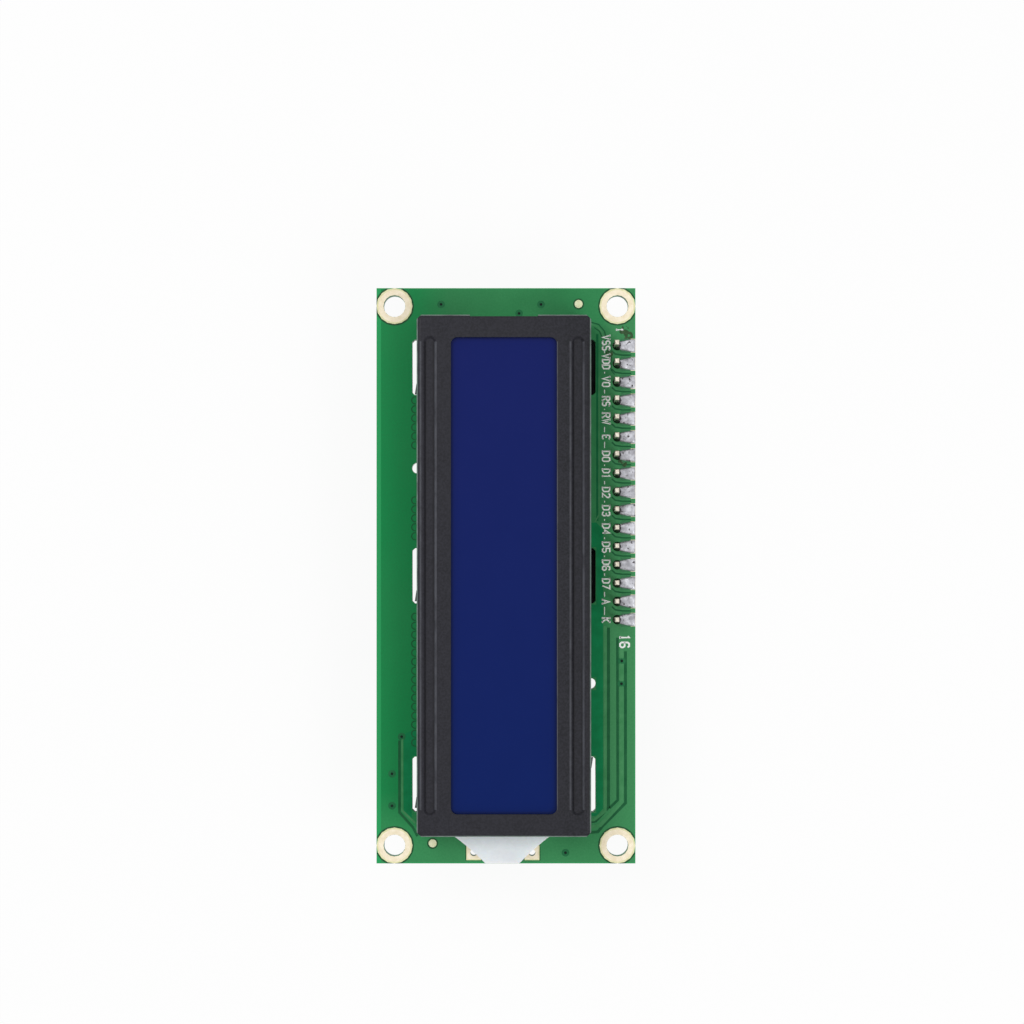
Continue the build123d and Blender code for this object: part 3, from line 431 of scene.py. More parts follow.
def letters(text, x, y, length, height, face, feet=False):
    # one word, fitted to its length and letter height; it reads along -y on the front and +y behind
    pen = 0.16 * height
    unit = (length - pen) / (6 * len(text) - (0 if feet else 2))
    rise = (height - pen) / 6
    way = -1 if face == "front" else 1
    for place, letter in enumerate(text):
        drawn = penStrokes[letter] + ("/" + serifs[letter] if feet and letter in serifs else "")
        for mark in drawn.split("/"):
            path = []
            for across, up in mark.split():
                along = (6 * place + int(across) - 3 * len(text)) * unit
                path.append((x + (int(up) - 3) * rise, y + way * along))
            stroke(face, path, pen)


def bodyOf(mesh, name, finish, body="module", slot=None, stands=()):
    # turns a finished mesh into a piece that rides on its body
    piece = bpy.data.objects.new(name, mesh)
    scene.collection.objects.link(piece)
    mesh.materials.clear()
    mesh.materials.append(finishes[finish].material)
    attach(piece, body)
    if stands:
        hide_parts(*stands)
    return piece


def meshOf(bm, name):
    bmesh.ops.recalc_face_normals(bm, faces=bm.faces)
    mesh = bpy.data.meshes.new(name)
    bm.to_mesh(mesh)
    bm.free()
    return mesh


def finished(bm, name, finish, smooth=False, **more):
    for face in bm.faces:
        face.smooth = smooth
    return bodyOf(meshOf(bm, name), name, finish, **more)


def softened(node, finish, width, body="module", slot=None):
    # a copy of a CAD node with its sharp edges broken
    mesh = nodes[node].data.copy()
    bm = bmesh.new()
    bm.from_mesh(mesh)
    bmesh.ops.remove_doubles(bm, verts=bm.verts, dist=1e-6)
    bmesh.ops.dissolve_limit(bm, angle_limit=math.radians(1), verts=bm.verts, edges=bm.edges)
    for face in bm.faces:
        face.smooth = True
    bm.to_mesh(mesh)
    bm.free()
    rough = bpy.data.objects.new("rough", mesh)
    scene.collection.objects.link(rough)
    bevel = rough.modifiers.new("edges", "BEVEL")
    bevel.width = width * mm
    bevel.segments = 2
    bevel.limit_method = "ANGLE"
    bevel.angle_limit = math.radians(sharpAngle)
    weighted = rough.modifiers.new("normals", "WEIGHTED_NORMAL")
    weighted.keep_sharp = True
    mesh.set_sharp_from_angle(angle=math.radians(sharpAngle))
    bpy.context.view_layer.update()
    result = bpy.data.meshes.new_from_object(rough.evaluated_get(bpy.context.evaluated_depsgraph_get()))
    bpy.data.objects.remove(rough)
    return bodyOf(result, node + "Body", finish, body=body, slot=slot, stands=(node,))


# parts that repeat
def stampTree():
    # one part stamped on every point, each turned, sized and lumped a little differently
    tree = bpy.data.node_groups.new("stampParts", "GeometryNodeTree")
    wanted = (
        ("Places", "NodeSocketGeometry"), ("Part", "NodeSocketObject"),
        ("Spin Spread", "NodeSocketFloat"), ("Size Spread", "NodeSocketFloat"),
        ("Lump Height", "NodeSocketFloat"), ("Lump Scale", "NodeSocketFloat"),
        ("Seed", "NodeSocketInt"), ("Finish", "NodeSocketMaterial"),
    )
    for name, kind in wanted:
        tree.interface.new_socket(name=name, in_out="INPUT", socket_type=kind)
    tree.interface.new_socket(name="Stamped", in_out="OUTPUT", socket_type="NodeSocketGeometry")

    def node(kind, sockets, **settings):
        made = tree.nodes.new(kind)
        for key, value in settings.items():
            setattr(made, key, value)
        for key, value in sockets.items():
            if isinstance(value, bpy.types.NodeSocket):
                tree.links.new(value, made.inputs[key])
            else:
                made.inputs[key].default_value = value
        return made

    start = node("NodeGroupInput", {})
    part = node("GeometryNodeObjectInfo", {"Object": start.outputs["Part"]})
    turn = node("GeometryNodeInputNamedAttribute", {"Name": "turn"}, data_type="FLOAT")
    seed = start.outputs["Seed"]
    back = node("ShaderNodeMath", {0: start.outputs["Spin Spread"], 1: -1.0}, operation="MULTIPLY")
    spin = node(
        "FunctionNodeRandomValue", {2: back.outputs[0], 3: start.outputs["Spin Spread"], "Seed": seed}
    )
    total = node("ShaderNodeMath", {0: turn.outputs[0], 1: spin.outputs[1]}, operation="ADD")
    angles = node("ShaderNodeCombineXYZ", {"Z": total.outputs[0]})
    turned = node("FunctionNodeEulerToRotation", {0: angles.outputs[0]})
    least = node("ShaderNodeMath", {0: 1.0, 1: start.outputs["Size Spread"]}, operation="SUBTRACT")
    most = node("ShaderNodeMath", {0: 1.0, 1: start.outputs["Size Spread"]}, operation="ADD")
    size = node("FunctionNodeRandomValue", {2: least.outputs[0], 3: most.outputs[0], "Seed": seed})
    stamped = node(
        "GeometryNodeInstanceOnPoints",
        {"Points": start.outputs["Places"], "Instance": part.outputs["Geometry"],
         "Rotation": turned.outputs[0], "Scale": size.outputs[1]},
    )
    real = node("GeometryNodeRealizeInstances", {"Geometry": stamped.outputs[0]})
    normal = node("GeometryNodeInputNormal", {})
    cloud = node("ShaderNodeTexNoise", {"W": seed, "Scale": start.outputs["Lump Scale"], "Detail": 2.0},
                 noise_dimensions="4D")
    centred = node("ShaderNodeMath", {0: cloud.outputs[0], 1: 0.5}, operation="SUBTRACT")
    height = node("ShaderNodeMath", {0: centred.outputs[0], 1: start.outputs["Lump Height"]},
                  operation="MULTIPLY")
    push = node("ShaderNodeVectorMath", {0: normal.outputs[0], "Scale": height.outputs[0]},
                operation="SCALE")
    moved = node("GeometryNodeSetPosition", {"Geometry": real.outputs[0], "Offset": push.outputs[0]})
    coloured = node(
        "GeometryNodeSetMaterial", {"Geometry": moved.outputs[0], "Material": start.outputs["Finish"]}
    )
    end = tree.nodes.new("NodeGroupOutput")
    tree.links.new(coloured.outputs[0], end.inputs[0])
    return tree


stampParts = stampTree()
inputs = [item for item in stampParts.interface.items_tree if item.in_out == "INPUT"]
socketNames = {item.name: item.identifier for item in inputs}


def stamp(name, prototype, places, finish, seed=1, spin=0.0, size=0.0, lump=(0.0, 900.0), smooth=True,
          **more):
    # places are (x, y, z, turn) in millimetres and degrees
    points = bpy.data.meshes.new("places")
    points.from_pydata([(x * mm, y * mm, z * mm) for x, y, z, turn in places], [], [])
    turns = points.attributes.new("turn", "FLOAT", "POINT")
    turns.data.foreach_set("value", [math.radians(turn) for x, y, z, turn in places])
    part = bpy.data.objects.new("prototype", prototype)
    carrier = bpy.data.objects.new("carrier", points)
    for thing in (part, carrier):
        scene.collection.objects.link(thing)
    modifier = carrier.modifiers.new("stamp", "NODES")
    modifier.node_group = stampParts
    values = {
        "Part": part, "Spin Spread": math.radians(spin), "Size Spread": size, "Lump Height": lump[0] * mm,
        "Lump Scale": lump[1], "Seed": seed, "Finish": finishes[finish].material,
    }
    for label, value in values.items():
        modifier[socketNames[label]] = value
    bpy.context.view_layer.update()
    mesh = bpy.data.meshes.new_from_object(carrier.evaluated_get(bpy.context.evaluated_depsgraph_get()))
    for thing in (carrier, part):
        bpy.data.objects.remove(thing)
    for polygon in mesh.polygons:
        polygon.use_smooth = smooth
    return bodyOf(mesh, name, finish, **more)


def lathe(profile, sides=24):
    # a turned shape from (radius, height) steps; the first and last close on the axis
    bm = bmesh.new()
    rings = []
    for radius, height in profile:
        circle = arc(0, 0, radius, sides=sides)
        rings.append([bm.verts.new((x * mm, y * mm, height * mm)) for x, y in circle])
    for lower, upper in zip(rings, rings[1:]):
        for index in range(sides):
            bm.faces.new((lower[index - 1], lower[index], upper[index], upper[index - 1]))
    bm.faces.new(rings[0])
    bm.faces.new(rings[-1])
    return meshOf(bm, "turned")


def slab(outline, low, high):
    # a small plate around the origin, for stamping
    bm = bmesh.new()
    prism(bm, outline, low, high)
    return meshOf(bm, "slab")


# carried-over CAD nodes
keptNodes = {
    "lcd_board": "boardGreen", "adapter_board": "boardBlack", "board_pads": "land", "adapter_pads": "tin",
    "bezel": "bezel", "front_polariser": "screen", "front_glass": "glass", "rear_glass": "glass",
    "rear_polariser": "film", "left_zebra_strip": "rubber", "right_zebra_strip": "rubber",
    "diffuser_film": "film", "reflector_film": "whiteFilm", "trimmer_base": "trimmerBase",
}
for node, finish in keptNodes.items():
    nodes[node].data.materials.clear()
    nodes[node].data.materials.append(finishes[finish].material)

softNodes = {  # node: finish, width of its broken edges in millimetres, record slot
    "light_guide": ("guide", 0.06, "guide_plastic"),
    "backlight_led": ("lamp", 0.04, "lamp_body"),
    "header_pins": ("pin", 0.03, "tinned_pin"),
    "header_strip": ("header", 0.06, "header_plastic"),
    "serial_header": ("header", 0.06, "header_plastic"),
    "jumper_header": ("header", 0.06, "header_plastic"),
    "serial_pins": ("pin", 0.04, "tinned_pin"),
    "jumper_pins": ("pin", 0.04, "tinned_pin"),
    "expander_chip": ("chip", 0.08, "chip_plastic"),
    "expander_leads": ("tin", 0.03, "tinned_end"),
    "trimmer_body": ("trimmerBlue", 0.08, "trimmer_blue"),
    "trimmer_legs": ("pin", 0.03, "tinned_pin"),
    "power_led": ("lens", 0.1, "lamp_lens"),
    "power_led_ends": ("tin", 0.06, "tinned_end"),
    "adapter_resistors": ("resistor", 0.04, "resistor_body"),
    "adapter_resistor_ends": ("tin", 0.07, "tinned_end"),
    "adapter_capacitor": ("capacitor", 0.05, "capacitor_tan"),
    "adapter_capacitor_ends": ("tin", 0.07, "tinned_end"),
    "display_resistors": ("resistor", 0.03, "resistor_body"),
    "display_resistor_ends": ("tin", 0.05, "tinned_end"),
    "transistor": ("chip", 0.06, "chip_plastic"),
    "transistor_leads": ("tin", 0.02, "tinned_end"),
}
for node, (finish, width, slot) in softNodes.items():
    piece = softened(node, finish, width, slot=slot)
    if node == "header_pins":  # the row leans a little towards the display
        for vertex in piece.data.vertices:
            rise = max(0.0, vertex.co.z / mm - 0.4)
            vertex.co.x -= 0.07 * rise * mm
            vertex.co.y += 0.02 * rise * mm
softened("trimmer_rotor", "rotor", 0.05, body="rotor", slot="rotor_grey")
softened("jumper_cap", "capPlastic", 0.1, body="cap", slot="header_plastic")
softened("jumper_clip", "tin", 0.04, body="cap", slot="tinned_pin")
print("CAD nodes dressed")


# solder
solder = {
    "row x": 15.5, "first pin y": 32.0, "pitch": 2.54, "pins": 16,
    "near width": 1.16, "far width": 1.8, "lump height": 0.26,
}
rowPlaces = [
    (solder["row x"], solder["first pin y"] - step * solder["pitch"]) for step in range(solder["pins"])
]


def meniscus(foot, tip, height, steps=9, curl=2.2):
    # solder that climbs a lead: wide and thin at the pad, steep at the top
    profile = [(foot, 0.0)]
    for step in range(steps + 1):
        share = step / steps
        profile.append((tip + (foot - tip) * (1 - share) ** curl, 0.03 + (height - 0.03) * share))
    profile.append((tip * 0.55, height * 1.03))
    return profile


def edgeLump():
    # solder that runs from a pin to the board's edge, narrow at the pin and highest along its middle
    columns, rows = 26, 14
    start, stop = 0.2, 2.47
    bm = bmesh.new()
    lines = []
    for i in range(columns + 1):
        share = i / columns
        x = start + (stop - start) * share
        growth = (solder["far width"] - solder["near width"]) * min(1.0, share * 1.25)
        half = (solder["near width"] + growth) / 2
        ends = min(1.0, share / 0.06, (1 - share) / 0.08) ** 0.5
        line = []
        for j in range(rows + 1):
            across = 2 * j / rows - 1
            crown = solder["lump height"] * ends * (1 - abs(across) ** 3) ** 0.5
            line.append(bm.verts.new((x * mm, across * half * mm, (0.01 + crown) * mm)))
        lines.append(line)
    for a, b in zip(lines, lines[1:]):
        for j in range(rows):
            bm.faces.new((a[j], b[j], b[j + 1], a[j + 1]))
    rim = [edge for edge in bm.edges if len(edge.link_faces) == 1]
    skirt = bmesh.ops.extrude_edge_only(bm, edges=rim)["geom"]
    for vertex in (v for v in skirt if isinstance(v, bmesh.types.BMVert)):
        vertex.co.z = -0.01 * mm
    bmesh.ops.contextual_create(bm, geom=[edge for edge in bm.edges if len(edge.link_faces) == 1])
    return meshOf(bm, "edgeLump")


spots = [(x, y, 0.05, 0.0) for x, y in rowPlaces]
stamp(
    "edgeLumps", edgeLump(), spots, "solder", seed=4, lump=(0.22, 900.0), slot="solder",
    stands=("front_solder",)
)
# the front pin cones are near black: dark flux and a painted dark reflection
stamp(
    "pinCones", lathe(meniscus(0.66, 0.4, 0.85), 20), spots, "fluxAndDarkReflection", seed=5, spin=180, lump=(0.1, 1100.0),
    slot="solder", stands=("front_solder",)
)


def downward(mesh):  # for joints on the back
    mesh.transform(Matrix.Rotation(math.pi, 4, "X"))
    return mesh


rearJoint = downward(lathe(meniscus(0.82, 0.42, 0.85)))
stamp(
    "rearJoints", rearJoint, [(x, y, -5.74, 0.0) for x, y in rowPlaces], "wornSolder", seed=7, spin=180,
    lump=(0.12, 1300.0), slot="solder", stands=("rear_solder",),
)
legPlaces = [(x, 32.15) for x in (3.57, 6.11, 8.65, 11.19)] + [(7.09, -6.2), (9.63, -6.2)]
legPlaces += [(6.36, 22.88), (8.9, 25.42), (11.44, 22.88)]
stamp(
    "legJoints", lathe(meniscus(0.8, 0.4, 0.74)), [(x, y, -4.14, 0.0) for x, y in legPlaces], "solder",
    seed=9, spin=180, lump=(0.1, 1300.0), slot="solder", stands=("leg_solder",),
)
lampLow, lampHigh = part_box("led_solder")
lampX = [lampLow[0] / mm + 0.6, lampHigh[0] / mm - 0.6]
lampY = (lampLow[1] + lampHigh[1]) / 2 / mm
stamp(
    "lampJoints", downward(lathe(meniscus(0.62, 0.36, 0.7))), [(x, lampY, -1.65, 0.0) for x in lampX],
    "solder", seed=11, spin=180, lump=(0.06, 1300.0), slot="solder", stands=("led_solder",),
)

splash = lathe([(0.62, -0.01), (0.58, 0.008), (0.3, 0.009)], 22)
splashPlaces = [
    (16.45, 34.15, 0.0, 30.0), (16.2, 15.7, 0.0, 80.0), (14.4, 30.9, 0.0, 10.0), (16.9, 33.4, 0.0, 60.0),
]
stamp("fluxSplashes", splash, splashPlaces, "fluxStain", seed=6, size=0.4, lump=(0.5, 1400.0), smooth=False)

fillets = bmesh.new()  # thin fillets of solder at the ends of the small parts
fillets.from_mesh(nodes["chip_solder"].data)
bmesh.ops.remove_doubles(fillets, verts=fillets.verts, dist=1e-6)
bmesh.ops.dissolve_limit(fillets, angle_limit=0.02, verts=fillets.verts, edges=fillets.edges)
bmesh.ops.subdivide_edges(fillets, edges=fillets.edges[:], cuts=2, use_grid_fill=True)
finished(fillets, "padFillets", "brightSolder", smooth=True, slot="solder", stands=("chip_solder",))
print("solder made")


# resin blobs
blobs = {
    "controller": {
        "node": "controller_glob", "x": -0.36, "y": 12.95, "radius": 6.5, "height": 1.3, "seed": 3,
    },
    "driver": {"node": "driver_glob", "x": 0.57, "y": -13.2, "radius": 5.3, "height": 1.3, "seed": 8},
}
for name, values in blobs.items():
    shape = random.Random(values["seed"])
    waves = [(count, shape.uniform(-1, 1), shape.uniform(0, math.tau)) for count in (2, 3, 5, 7)]
    bm = bmesh.new()
    sides, steps = 72, 16
    rings = []
    for step in range(1, steps + 1):
        share = step / steps
        ring = []
        for side in range(sides):
            turn = math.tau * side / sides
            wave = sum(size * math.cos(count * turn + phase) / count for count, size, phase in waves) * 0.02
            reach = values["radius"] * share * (1 + (wave - 0.02) * share)
            height = values["height"] * (1 - share ** 2.3) ** 0.8
            height *= 1 + 0.03 * math.cos(turn * 2 + waves[0][2]) * share
            x = values["x"] + reach * math.cos(turn)
            y = values["y"] + reach * math.sin(turn)
            ring.append(bm.verts.new((x * mm, y * mm, (-1.6 - max(height, 0.0)) * mm)))
        rings.append(ring)
    top = bm.verts.new((values["x"] * mm, values["y"] * mm, (-1.6 - values["height"]) * mm))
    for side in range(sides):
        bm.faces.new((top, rings[0][side - 1], rings[0][side]))
        for lower, upper in zip(rings, rings[1:]):
            bm.faces.new((lower[side - 1], lower[side], upper[side], upper[side - 1]))
    bm.faces.new(rings[-1])
    finished(bm, name + "Resin", "resin", smooth=True, slot="black_resin", stands=(values["node"],))
print("resin made")


# copper under the mask
frontCopper = {
    "heights": (0.012, 0.02),
    "bare": [  # laminate without copper underneath: outlines
        box2(12.55, 7.6, 12.86, 33.6), [(12.55, 7.4), (13.5, 6.5), (13.5, -32.4), (12.55, -33.4)],
        [(-14.2, -32.6), (-13.1, -33.7), (-13.1, -21.5), (-13.9, -21.9), (-14.2, -22.4)],
        box2(-13.1, -25.0, -12.2, -21.6), box2(11.6, 4.0, 12.55, 7.4),
        box2(11.6, -14.1, 12.55, -4.0), box2(11.6, -25.0, 12.55, -15.9), box2(11.6, -33.4, 12.55, -33.0),
    ],
    "gaps": [  # path, width
        ([(14.26, -7.2), (14.26, -32.2), (12.5, -34.1), (11.7, -34.2)], 0.42),
        ([(15.5, -8.6), (15.54, -31.2), (14.4, -32.3)], 0.36),
        ([(16.62, -10.5), (16.62, -31.6), (13.4, -34.85), (12.8, -35.6), (11.7, -35.7)], 0.4),
        ([(-14.81, -22.9), (-14.81, -32.9), (-12.95, -34.97), (-12.3, -36.2)], 0.36),
        ([(11.6, 35.35), (12.9, 34.95), (13.7, 34.0), (14.0, 32.8)], 0.16),
        ([(12.3, 34.5), (13.0, 34.0), (13.35, 33.2)], 0.16),
        ([(14.62, 32.2), (14.62, 28.6), (15.1, 28.0)], 0.14),
    ],
    "tracks": [
        ([(13.8, -7.0), (13.8, -32.7), (12.2, -33.95), (11.7, -33.95)], 0.4),
        ([(16.08, -10.0), (16.08, -31.5), (13.1, -34.7), (11.7, -35.0)], 0.5),
        ([(-14.43, -22.4), (-14.43, -32.65), (-12.6, -34.4)], 0.28),
        ([(11.6, 35.05), (12.75, 34.65), (13.4, 33.8), (13.65, 32.8)], 0.2),
        ([(13.5, 28.3), (12.93, 27.5), (12.93, 8.5), (12.4, 7.5)], 0.16),
    ],
}
for step in range(15):  # short runs between the pads and the legend column
    y = solder["first pin y"] - (step + 0.5) * solder["pitch"]
    run = [(14.72, y + 0.55), (15.2, y + 0.1), (16.2, y - 0.05), (17.4, y - 0.05)]
    frontCopper["gaps"].append((run, 0.22))
for start, stop in ((24.4, 17.4), (10.5, 5.5), (-5.7, -24.0)):  # scalloped clearances beside the bezel
    for step in range(int((start - stop) / 1.25) + 1):
        frontCopper["gaps"].append((arc(-12.62, start - 1.25 * step, 0.5, 80, 280, 10), 0.16))
rearCopper = {
    "heights": (0.012, 0.02), "bare": [], "tracks": [],
    "gaps": [
        ([(-17.05, -39.0), (-17.05, 33.8)], 0.16),
        ([(-14.4, -24.7), (-15.8, -23.2), (-15.8, 32.8), (-12.6, 35.9),
          (-7.74, 35.9), (-6.4, 35.1), (-1.8, 35.1)], 0.2),
        ([(-14.5, -23.6), (-15.0, -23.0), (-15.0, 32.4), (-12.0, 35.1),
          (-8.6, 35.1), (-7.74, 34.2), (-7.74, 33.0)], 0.2),
        ([(-13.9, -22.4), (-13.9, -6.5), (-13.4, -6.0)], 0.14), ([(-13.9, 14.5), (-13.9, 25.2)], 0.14),
        ([(-8.0, -24.7), (-14.4, -24.7)], 0.16), ([(-8.0, -28.4), (-8.0, -24.9), (-0.6, -24.9)], 0.16),
        ([(3.9, -38.0), (11.4, -38.0), (13.65, -35.75), (13.65, -32.7)], 0.3),
        ([(4.2, -36.7), (11.15, -36.7), (12.5, -35.2), (12.5, -33.2)], 0.2),
        ([(0.6, -33.7), (1.15, -34.5), (4.5, -34.5), (5.6, -33.4), (7.0, -33.2)], 0.2),
        ([(14.4, -32.6), (14.4, -26.2)], 0.16),
        ([(16.15, -15.3), (15.45, -14.2), (14.35, -13.05), (14.35, -8.1)], 0.3),
        ([(15.3, -14.0), (15.3, -9.0)], 0.2),
        ([(2.5, -20.4), (6.4, -20.4), (7.6, -19.2), (7.6, -15.5)], 0.24),
    ],
}


def bundle(count, line, shift, trim=(0.0, 0.0)):
    # parallel light tracks between dark gaps, each one shifted, its first point moved along by trim
    for step in range(count):
        moved = [(x + shift[0] * step, y + shift[1] * step) for x, y in line]
        moved[0] = (moved[0][0] + trim[0] * step, moved[0][1] + trim[1] * step)
        rearCopper["gaps"].append((moved, 0.3))
        rearCopper["tracks"].append((moved, 0.13))


bundle(15, [(-11.4, -23.2), (-9.1, -20.9), (-9.1, -8.6), (1.0, 1.5)], (0.4, -0.166))
bundle(9, [(1.6, -24.0), (-2.4, -20.0), (-4.0, -18.4)], (0.42, 0.1), (0.05, 0.14))
bundle(5, [(-12.5, -13.2), (-11.0, -13.2), (-10.0, -12.2), (-10.0, -8.1), (-2.0, -0.1)], (-0.3, 1.25),
       (0.3, 0.0))
bundle(4, [(-12.5, 5.9), (-9.6, 5.9), (-6.0, 9.5)], (-0.2, 1.22), (0.2, 0.0))
bundle(6, [(-12.5, 17.3), (-10.9, 17.3), (-6.2, 12.6)], (0.45, 1.28), (-0.45, 0.0))
bundle(5, [(-4.4, 24.2), (-4.4, 20.6), (-1.0, 17.2)], (0.6, 0.25))
for face, values in (("front", frontCopper), ("rear", rearCopper)):
    gaps, tracks = bmesh.new(), bmesh.new()
    gapTop, trackTop = values["heights"]
    for index, outline in enumerate(values["bare"]):
        bare = bmesh.new()
        plateOf(bare, outline, face, -0.01, gapTop / 2)
        # the first bare strip lies beside the bezel and takes the darker green of painted shade
        finished(bare, f"{face}Bare{index}", "bareGreen" if index else "gapGreen", slot="board_green")
    for path, width in values["gaps"]:
        ribbon(gaps, path, width, face, -0.01, gapTop)
    for path, width in values["tracks"]:
        ribbon(tracks, path, width, face, 0.0, trackTop)
    finished(gaps, face + "TrackGaps", "lineGreen" if face == "front" else "rearLine", slot="board_green")
    finished(tracks, face + "Tracks", "trackGreen" if face == "front" else "rearTrack", slot="board_green")
print("tracks laid")


def evenly(x, y, count, dx=0.0, dy=0.0):
    return [(x + dx * step, y + dy * step) for step in range(count)]


viaPlaces = {
    "front": [
        (-9.03, 37.74), (1.82, 36.49), (4.87, 37.74), (-15.85, -27.53), (-15.85, -31.98), (-14.51, -22.37),
        (16.11, -11.84), (16.06, -15.01), (8.28, -38.51),
    ],
    "rear": [
        *evenly(-7.9, -23.25, 4, dx=1.45), *evenly(-8.6, -22.3, 5, dx=1.43),
        *evenly(2.96, -22.5, 4, dx=1.38), *evenly(-12.5, -23.6, 3, dy=1.3),
        *evenly(-12.5, -13.2, 7, dy=1.25), *evenly(-12.5, 5.9, 4, dy=1.22),
        *evenly(-12.5, 17.3, 6, dy=1.28), (-15.85, -31.9), (-15.85, -27.5), (-13.3, -16.7), (-4.5, -33.2),
        (-4.5, -27.6), (7.04, -32.85), (-8.9, 37.7), (-8.7, 34.1), (-7.74, 34.3), (16.15, -15.3),
    ],
}
for face, vias in viaPlaces.items():
    holeMesh = lathe([(0.19, 0.0), (0.19, 0.034), (0.08, 0.036)], 14)
    collarMesh = lathe([(0.4, -0.01), (0.39, 0.024), (0.16, 0.028)], 20)
    clearMesh = lathe([(0.54, -0.01), (0.53, 0.015), (0.3, 0.016)], 24)
    if face == "rear":
        for mesh in (holeMesh, collarMesh, clearMesh):
            downward(mesh)
    spots = [(x, y, faceLevel[face], 0.0) for x, y in vias]
    collar, line = ("viaGreen", "viaGreen") if face == "front" else ("rearTrack", "rearLine")
    stamp(face + "ViaGaps", clearMesh, spots, line, smooth=False, slot="board_green")
    stamp(face + "ViaRings", collarMesh, spots, collar, smooth=False, slot="board_green")
    stamp(face + "ViaHoles", holeMesh, spots, "hole", smooth=False, slot="board_green")

fiducial = {
    "front": [(10.1, 37.8, 0.0, 0.0), (-10.2, -37.2, 0.0, 0.0)],
    "rear": [(10.0, 37.8, faceLevel["rear"], 0.0), (-10.3, -36.1, faceLevel["rear"], 0.0)],
}
for face, spots in fiducial.items():
    ringMesh = lathe([(0.78, -0.01), (0.77, 0.006), (0.3, 0.008)], 32)
    dotMesh = lathe([(0.56, 0.0), (0.55, 0.03), (0.3, 0.035)], 32)
    if face == "rear":
        downward(ringMesh)
        downward(dotMesh)
    stamp(face + "FiducialRings", ringMesh, spots, "haloGreen", smooth=False)
    stamp(face + "FiducialDots", dotMesh, spots, "gold", smooth=False, slot="bare_land")

bridges = {"places": [(5.6, -31.74), (5.65, -29.33), (5.7, -26.9)], "ring radius": 1.1, "ring width": 0.2,
           "pad radius": 0.8, "split": 0.14}
halves = bmesh.new()
# two half pads each; the first pair is bridged with solder
for index, (x, y) in enumerate(bridges["places"]):
    turn = 90 * (index % 2)
    for side in (0, 180):
        middle = math.radians(turn + side + 90)
        shift = (bridges["split"] * math.cos(middle), bridges["split"] * math.sin(middle))
        radius = bridges["pad radius"] - bridges["split"]
        outline = arc(x + shift[0], y + shift[1], radius, turn + side, turn + side + 180, 16)
        plateOf(halves, outline, "rear", -0.01, 0.04)
finished(halves, "bridgePads", "land", slot="bare_land")
dome = downward(lathe([(0.78, 0.0), (0.76, 0.16), (0.6, 0.34), (0.3, 0.44), (0.1, 0.46)], 24))
stamp("bridgeSolder", dome, [(*bridges["places"][0], -1.6, 0.0)], "wornSolder", lump=(0.05, 900.0),
      slot="solder")
stains = downward(lathe([(0.34, -0.01), (0.34, 0.012), (0.1, 0.014)], 18))
stamp("probeStains", stains, [(-1.8, -36.05, -1.67, 0.0), (0.8, -36.05, -1.67, 0.0)], "stain", size=0.2,
      slot="bare_land")
print("vias and fiducials placed")


# rims of the bare lands
landRims = {"ring radius": 2.45, "light": 0.2, "dark": 0.24}
light, dark = bmesh.new(), bmesh.new()
corners = [(sx * 15.5, sy * 37.5) for sx in (-1, 1) for sy in (-1, 1)]
for face in ("front", "rear"):
    for x, y in corners:
        edge = landRims["ring radius"] - landRims["light"] / 2
        ribbon(light, arc(x, y, edge, sides=64), landRims["light"], face, 0.05, 0.058, closed=True)
        turns = arc(x, y, landRims["ring radius"] + landRims["dark"] / 2, sides=64)
        inside = [(px, py) for px, py in turns if abs(px) < 17.93 and abs(py) < 39.93]
        first = next(i for i in range(64) if turns[i] in inside and turns[i - 1] not in inside)
        ordered = [turns[(first + i) % 64] for i in range(64) if turns[(first + i) % 64] in inside]
        ribbon(dark, ordered, landRims["dark"], face, -0.01, 0.012)
    for x in (-4.48, 3.62):
        ribbon(light, box2(x - 0.97, -39.47, x + 0.97, -37.53), 0.12, face, 0.05, 0.058, closed=True)
        ribbon(dark, [(x - 1.1, -39.6), (x - 1.1, -37.4), (x + 1.1, -37.4), (x + 1.1, -39.6)], 0.12,
               face, -0.01, 0.012)
finished(light, "landRims", "landEdge", slot="bare_land")
finished(dark, "landShades", "haloGreen", slot="board_green")
print("land rims made")


# white legends
legendX = 13.93
frontWords = (  # word, length and how far its middle lies from its pin, towards pin 1
    ("VSS", 2.45, 0.4), ("VDD", 2.45, 0.34), ("V0", 1.8, 0.08), ("RS", 1.7, -0.1),
    ("RW", 1.95, 0.05), ("E", 0.9, 0.0), ("D0", 1.85, -0.15), ("D1", 1.65, 0.0),
    ("D2", 1.85, -0.1), ("D3", 1.85, -0.1), ("D4", 1.85, -0.1), ("D5", 1.85, -0.1),
    ("D6", 1.85, -0.05), ("D7", 1.8, -0.1), ("A", 0.98, -0.05), ("K", 0.98, -0.05),
)
for index, (word, size, shift) in enumerate(frontWords):
    y = solder["first pin y"] - index * solder["pitch"] + shift
    letters(word, legendX, y, size, 1.2, "front", feet=True)
    if index:  # a thin dash fills the space up to the word before
        dashX = legendX - 0.22
        stroke("front", [(dashX, lastEnd - 0.22), (dashX, y + size / 2 + 0.22)], 0.12)
    lastEnd = y - size / 2
letters("1", 15.8, 34.2, 0.75, 1.0, "front")
letters("16", 16.5, -9.1, 1.95, 1.5, "front")
finished(inks["front"], "frontLegend", "ink")

